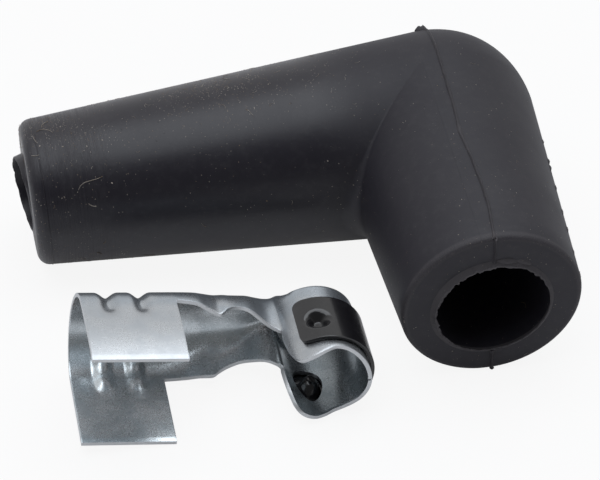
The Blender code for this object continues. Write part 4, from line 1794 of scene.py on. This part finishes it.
@dataclass
class Litter:
    """Specks or fibres that lie on a surface, made by Geometry Nodes.

    Args:
        name: Name of the piece.
        shape: What lies there.
        density: How many to a square metre where they are thickest.
        size: Their middle size, in metres.
        seed: Seed of their places.
        patch: Size of the patches in which they gather, as a noise scale.
        patch_range: Noise values between which a patch goes from bare to full.
        top_range: Sums of Y and Z, in metres, between which the litter grows thicker towards the upper back.
        end_range: Places along X, in metres, between which it grows thicker towards the wire end.
        low_share: Share of it that lies low down as well.
        far_share: Share of it that lies everywhere.
    """

    name: str
    shape: Shape
    density: float
    size: float
    seed: int
    patch: float = 120.0
    patch_range: tuple[float, float] = (0.4, 0.62)
    top_range: tuple[float, float] = (0.0195, 0.0268)
    end_range: tuple[float, float] = (0.008, -0.016)
    low_share: float = 0.1
    far_share: float = 0.03

    def tree(self, finish: bpy.types.Material) -> bpy.types.GeometryNodeTree:
        """Build the node tree.

        Args:
            finish: The material of the litter.

        Returns:
            The tree, whose inputs are Surface, Density, Size and Seed.
        """
        tree = bpy.data.node_groups.new(self.name, "GeometryNodeTree")
        node = partial(add_node, tree)
        face = tree.interface
        face.new_socket("Surface", in_out="INPUT", socket_type="NodeSocketGeometry")
        face.new_socket("Density", in_out="INPUT", socket_type="NodeSocketFloat")
        face.new_socket("Size", in_out="INPUT", socket_type="NodeSocketFloat")
        face.new_socket("Seed", in_out="INPUT", socket_type="NodeSocketInt")
        face.new_socket("Litter", in_out="OUTPUT", socket_type="NodeSocketGeometry")
        start = node("NodeGroupInput", {}, {})
        field = self.thickness(tree)
        thick = node("ShaderNodeMath", {"operation": "MULTIPLY"}, {0: field, 1: start.outputs["Density"]})
        spread = node("GeometryNodeDistributePointsOnFaces", {"distribute_method": "RANDOM"},
                      {"Mesh": start.outputs["Surface"], "Density": thick.outputs[0],
                       "Seed": start.outputs["Seed"]})
        spin = node("FunctionNodeRandomValue", {"data_type": "FLOAT"}, {2: 0.0, 3: 2 * math.pi, 8: self.seed})
        twist = node("ShaderNodeCombineXYZ", {}, {2: spin.outputs[1]})
        turn = node("FunctionNodeRotateRotation", {"rotation_space": "LOCAL"},
                    {0: spread.outputs["Rotation"], 1: twist.outputs[0]})
        low, high = (0.35, 1.5) if self.shape is Shape.SPECK else (0.5, 1.6)
        size = node("FunctionNodeRandomValue", {"data_type": "FLOAT"}, {2: low, 3: high, 8: self.seed + 1})
        grow = node("ShaderNodeMath", {"operation": "MULTIPLY"},
                    {0: size.outputs[1], 1: start.outputs["Size"]})
        thing = self.speck(tree) if self.shape is Shape.SPECK else self.fibre(tree)
        each = node("GeometryNodeInstanceOnPoints", {},
                    {"Points": spread.outputs["Points"], "Instance": thing, "Rotation": turn.outputs[0],
                     "Scale": grow.outputs[0]})
        real = node("GeometryNodeRealizeInstances", {}, {0: each.outputs[0]})
        dressed = node("GeometryNodeSetMaterial", {}, {"Geometry": real.outputs[0], "Material": finish})
        node("NodeGroupOutput", {}, {0: dressed.outputs[0]})
        return tree

    def thickness(self, tree: bpy.types.NodeTree) -> Any:
        """Work out how thick the litter lies from place to place.

        Args:
            tree: The tree that it is worked out in.

        Returns:
            The socket of a share that is about 1 where the litter is thickest.
        """
        node = partial(add_node, tree)
        place = node("GeometryNodeInputPosition", {}, {})
        patches = node("ShaderNodeTexNoise", {},
                       {"Vector": place.outputs[0], "Scale": self.patch, "Detail": 2.0})
        gather = self.ramp(tree, patches.outputs[0], self.patch_range)
        parts = node("ShaderNodeSeparateXYZ", {}, {0: place.outputs[0]})
        high = node("ShaderNodeMath", {"operation": "ADD"}, {0: parts.outputs[1], 1: parts.outputs[2]})
        top = self.ramp(tree, high.outputs[0], self.top_range)
        end = self.ramp(tree, parts.outputs[0], self.end_range)
        more = node("ShaderNodeMath", {"operation": "ADD"}, {0: top, 1: self.low_share})
        both = node("ShaderNodeMath", {"operation": "MULTIPLY_ADD"},
                    {0: more.outputs[0], 1: end, 2: self.far_share})
        field = node("ShaderNodeMath", {"operation": "MULTIPLY"}, {0: gather, 1: both.outputs[0]})
        return field.outputs[0]

    @staticmethod
    def ramp(tree: bpy.types.NodeTree, value: Any, limits: tuple[float, float]) -> Any:
        """A share that goes from 0 to 1 between two limits."""
        inputs = {"Value": value, "From Min": limits[0], "From Max": limits[1]}
        return add_node(tree, "ShaderNodeMapRange", {}, inputs).outputs[0]

    @staticmethod
    def speck(tree: bpy.types.NodeTree) -> Any:
        """Make a small irregular flake, one unit across.

        Args:
            tree: The tree that it is made in.

        Returns:
            The socket of its mesh.
        """
        ball = add_node(tree, "GeometryNodeMeshIcoSphere", {}, {"Radius": 0.5, "Subdivisions": 1})
        squash = {"Geometry": ball.outputs[0], "Scale": (1.0, 0.62, 0.4)}
        return add_node(tree, "GeometryNodeTransform", {}, squash).outputs[0]

    @staticmethod
    def fibre(tree: bpy.types.NodeTree) -> Any:
        """Make a thin curved thread, about one unit long.

        Args:
            tree: The tree that it is made in.

        Returns:
            The socket of its mesh.
        """
        bow = {"Resolution": 7, "Start": (-0.5, 0.0, 0.02), "Middle": (0.05, 0.35, 0.05),
               "End": (0.5, -0.1, 0.02)}
        line = add_node(tree, "GeometryNodeCurveQuadraticBezier", {}, bow)
        ring = add_node(tree, "GeometryNodeCurvePrimitiveCircle", {}, {"Resolution": 4, "Radius": 0.022})
        sweep = {"Curve": line.outputs[0], "Profile Curve": ring.outputs[0], "Fill Caps": True}
        return add_node(tree, "GeometryNodeCurveToMesh", {}, sweep).outputs[0]

    def build(self, surface: bpy.types.Object, finish: bpy.types.Material) -> bpy.types.Object:
        """Scatter the litter over a surface.

        Args:
            surface: The piece it lies on.
            finish: Its material.

        Returns:
            The litter as one plain mesh.
        """
        item = show(self.name, surface.data.copy())
        modifier = item.modifiers.new("Litter", "NODES")
        tree = self.tree(finish)
        modifier.node_group = tree
        values = {"Density": self.density, "Size": self.size, "Seed": self.seed}
        for socket in tree.interface.items_tree:
            if socket.name in values:
                modifier[socket.identifier] = values[socket.name]
        settle(item)
        adopt(item)
        return item


@dataclass
class Threads:
    """The longer threads that lie on the wire leg, each a bent line over its surface.

    Args:
        boot: The boot that they lie on.
        radius: Their radius, in millimetres.
        sides: How many sides they have.
        parts: Into how many parts each is divided.
        routes: For each, its points as distance from the elbow in millimetres and angle round the leg in
            degrees.
    """

    boot: Boot
    radius: float = 0.024
    sides: int = 5
    parts: int = 16
    routes: tuple[tuple[tuple[float, float], ...], ...] = (
        ((32.75, 37.5), (32.3, 41.0), (31.9, 42.8), (31.2, 42.9), (30.5, 44.6)),
        ((35.5, 92.5), (34.9, 94.0), (34.35, 91.0), (34.1, 87.5)),
        ((32.05, 26.6), (31.8, 24.4), (31.4, 23.6)),
        ((31.2, -10.5), (31.0, -8.4), (30.9, -4.8)),
        ((31.8, -22.0), (31.6, -22.8), (31.4, -25.0)),
        ((17.2, 74.4), (16.9, 71.7), (16.65, 67.6)),
        ((22.5, 0.5), (22.3, -2.2), (22.1, -3.0)),
        ((36.3, 70.0), (35.9, 69.0), (35.6, 69.4)),
    )

    def course(self, route: Sequence[tuple[float, float]]) -> np.ndarray:
        """Lay a smooth curve through a route.

        Args:
            route: The route's points.

        Returns:
            The curve's points, one to a row.
        """
        places = np.linspace(0, 1, len(route))
        dense = np.linspace(0, 1, self.parts + 1)
        degree = min(3, len(route) - 1)
        return np.array([np.polyval(np.polyfit(places, axis, degree), dense) for axis in np.array(route).T]).T

    def build(self, finish: bpy.types.Material) -> bpy.types.Object:
        """Build the threads.

        Args:
            finish: Their material.

        Returns:
            The threads as one piece.
        """
        skin = Skin()
        for route in self.routes:
            rows = []
            for distance, degrees in self.course(route):
                angle = math.radians(degrees)
                out = Vector((0, -math.cos(angle), math.sin(angle)))
                across = Vector((0, math.sin(angle), math.cos(angle)))
                middle = Vector((-distance, 0, 0)) + out * (self.boot.wire_radius(distance) + self.radius)
                ring = [middle + (across * math.cos(turn) + out * math.sin(turn)) * self.radius
                        for turn in circle(self.sides)]
                rows.append(skin.row(ring))
            skin.weave([row + row[:1] for row in rows])
            skin.lid(rows[0])
            skin.lid(rows[-1])
        threads = show("threads", skin.mesh("threads"))
        carry(threads, self.boot.place)
        threads.data.materials.append(finish)
        adopt(threads)
        return threads


# Table, light and camera


@dataclass(frozen=True)
class Studio:
    """The pale table, soft lights and the camera at the photograph's angle.

    Args:
        target: The elbow's centre, on which the camera is set, in metres.
        azimuth: The camera's azimuth, in degrees.
        elevation: Its elevation, in degrees.
        roll: Its roll, in degrees.
        distance: Its distance from the target, in metres.
        lens: Its focal length, in millimetres.
        offset: How far the target stands from the picture's middle, as shares of the distance.
        lit_levels: How strongly the backdrop lights the object, in front of it and behind it.
        seen_levels: How bright the backdrop looks in reflections, in front and behind.
        level_range: Places from front to back, on a ball of radius 1, between which it changes.
        world_tint: Colour of the backdrop's light.
        table_size: Half the table's length, in metres.
        table_tint: The table's colour.
        table_glow: Share of plain white in what the camera sees of the table.
        table_glint: The same share in what reflections see.
        lamp_place: The overhead lamp's place, in metres.
        lamp_size: Its width and height, in metres.
        lamp_power: Its power, in watts.
        lamp_tint: Its colour.
    """

    target: Point
    azimuth: float = -11.099
    elevation: float = 37.781
    roll: float = 1.392
    distance: float = 0.3
    lens: float = 199.8
    offset: tuple[float, float] = (0.040315, 0.032560)
    lit_levels: tuple[float, float] = (0.12, 0.5)
    seen_levels: tuple[float, float] = (0.15, 0.72)
    level_range: tuple[float, float] = (-0.5, 0.6)
    world_tint: tuple[float, float, float, float] = (1.0, 0.965, 1.0, 1.0)
    table_size: float = 3.0
    table_tint: Colour = (0.86, 0.86, 0.87)
    table_glow: float = 0.9
    table_glint: float = 0.2
    lamp_place: Point = (-0.02, 0.04, 0.5)
    lamp_size: tuple[float, float] = (0.8, 0.44)
    lamp_power: float = 2.2
    lamp_tint: Colour = (0.9, 0.95, 1.0)

    def camera(self) -> None:
        """Set the camera."""
        a, e, r = (math.radians(v) for v in (self.azimuth, self.elevation, self.roll))
        back = Vector((math.sin(a) * math.cos(e), -math.cos(a) * math.cos(e), math.sin(e)))
        right = Vector((math.cos(a), math.sin(a), 0.0))
        up = back.cross(right)
        right, up = right * math.cos(r) + up * math.sin(r), up * math.cos(r) - right * math.sin(r)
        data = bpy.data.cameras.new("photo_camera")
        data.lens = self.lens
        data.sensor_width = 36.0
        data.clip_start, data.clip_end = 0.01, 20.0
        camera = bpy.data.objects.new("photo_camera", data)
        matrix = Matrix((right, up, back)).transposed().to_4x4()
        matrix.translation = (Vector(self.target) + back * self.distance
                              - right * self.offset[0] * self.distance - up * self.offset[1] * self.distance)
        camera.matrix_world = matrix
        bpy.context.scene.collection.objects.link(camera)
        bpy.context.scene.camera = camera

    def lamp(self) -> None:
        """Hang the soft rectangular lamp over the object, which it faces."""
        data = bpy.data.lights.new("overhead_softbox", "AREA")
        data.shape = "RECTANGLE"
        data.size, data.size_y = self.lamp_size
        data.energy = self.lamp_power
        data.color = self.lamp_tint
        item = bpy.data.objects.new("overhead_softbox", data)
        item.location = self.lamp_place
        item.rotation_euler = (-Vector(self.lamp_place)).to_track_quat("-Z", "Y").to_euler()
        bpy.context.scene.collection.objects.link(item)

    def world(self) -> None:
        """A pale backdrop all round, brighter behind the object than in front of it.

        The camera and reflections see it white at the back. It lights the object at a plainer level.
        """
        world = bpy.data.worlds.new("studio")
        bpy.context.scene.world = world
        world.use_nodes = True
        tree = world.node_tree
        tree.nodes.clear()
        node = partial(add_node, tree)
        direction = node("ShaderNodeTexCoord", {}, {}).outputs["Generated"]
        depth = node("ShaderNodeSeparateXYZ", {}, {0: direction}).outputs[1]
        shares = []
        near, far = self.level_range
        for front, back in (self.lit_levels, self.seen_levels):
            ends = {"Value": depth, "From Min": near, "From Max": far, "To Min": front, "To Max": back}
            shares.append(node("ShaderNodeMapRange", {"interpolation_type": "SMOOTHSTEP"}, ends).outputs[0])
        lit = node("ShaderNodeBackground", {}, {"Color": self.world_tint, "Strength": shares[0]}).outputs[0]
        seen = node("ShaderNodeBackground", {}, {"Color": (1, 1, 1, 1), "Strength": shares[1]}).outputs[0]
        path = node("ShaderNodeLightPath", {}, {}).outputs
        direct = node("ShaderNodeMath", {"operation": "ADD"},
                      {0: path["Is Camera Ray"], 1: path["Is Glossy Ray"]})
        watched = node("ShaderNodeMath", {"operation": "ADD", "use_clamp": True},
                       {0: direct.outputs[0], 1: path["Is Transmission Ray"]})
        mix = node("ShaderNodeMixShader", {}, {0: watched.outputs[0], 1: lit, 2: seen})
        node("ShaderNodeOutputWorld", {}, {0: mix.outputs[0]})

    def table(self) -> None:
        """The pale table, which shows almost white to the camera and keeps the object's shadow."""
        size = self.table_size
        corners = [(-size, -size, 0), (size, -size, 0), (size, size, 0), (-size, size, 0)]
        mesh = bpy.data.meshes.new("table")
        mesh.from_pydata(corners, [], [(0, 1, 2, 3)])
        table = show("table", mesh)
        g = Graph("pale_table")
        g.feed(g.shader.inputs["Base Color"], self.table_tint)
        g.feed(g.shader.inputs["Roughness"], 0.7)
        rays = ("Is Camera Ray", "Is Glossy Ray", "Is Transmission Ray")
        camera, glossy, clear = (g.add("ShaderNodeLightPath", {}, {}, ray) for ray in rays)
        watched = camera * self.table_glow + (glossy + clear) * self.table_glint
        glow = g.add("ShaderNodeEmission", {}, {"Color": (1.0, 1.0, 1.0), "Strength": 1.0})
        output = next(n for n in g.tree.nodes if n.type == "OUTPUT_MATERIAL")
        plain = Wire(g, g.shader.outputs[0])
        mix = g.add("ShaderNodeMixShader", {}, {0: watched.least(1.0), 1: plain, 2: glow})
        g.tree.links.new(mix.socket, output.inputs["Surface"])
        mesh.materials.append(g.material)

    def build(self) -> None:
        """Set up everything round the object."""
        self.camera()
        self.world()
        self.table()
        self.lamp()
        view = bpy.context.scene.view_settings
        view.view_transform = "Standard"


def main() -> None:
    """Load the frame, build the pieces round it and set the studio."""
    logging.basicConfig(level=logging.INFO, format="%(name)s: %(message)s")
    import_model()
    boot = Boot()
    pieces = boot.build()
    terminal = Terminal()
    terminal.build()
    SpringClip(terminal).build()
    dust = Dust().material("pale_dust")
    for litter in (Litter("fine_specks", Shape.SPECK, density=30000000.0, size=0.000075, seed=3),
                   Litter("larger_flakes", Shape.SPECK, density=1100000.0, size=0.00013, seed=8),
                   Litter("short_lint", Shape.FIBRE, density=900000.0, size=0.00034, seed=12),
                   Litter("lint", Shape.FIBRE, density=90000.0, size=0.0008, seed=21)):
        litter.build(pieces[0], dust)
    Threads(boot).build(dust)
    Studio(boot.origin).build()
    bpy.context.view_layer.update()


if __name__ == "__main__":
    main()
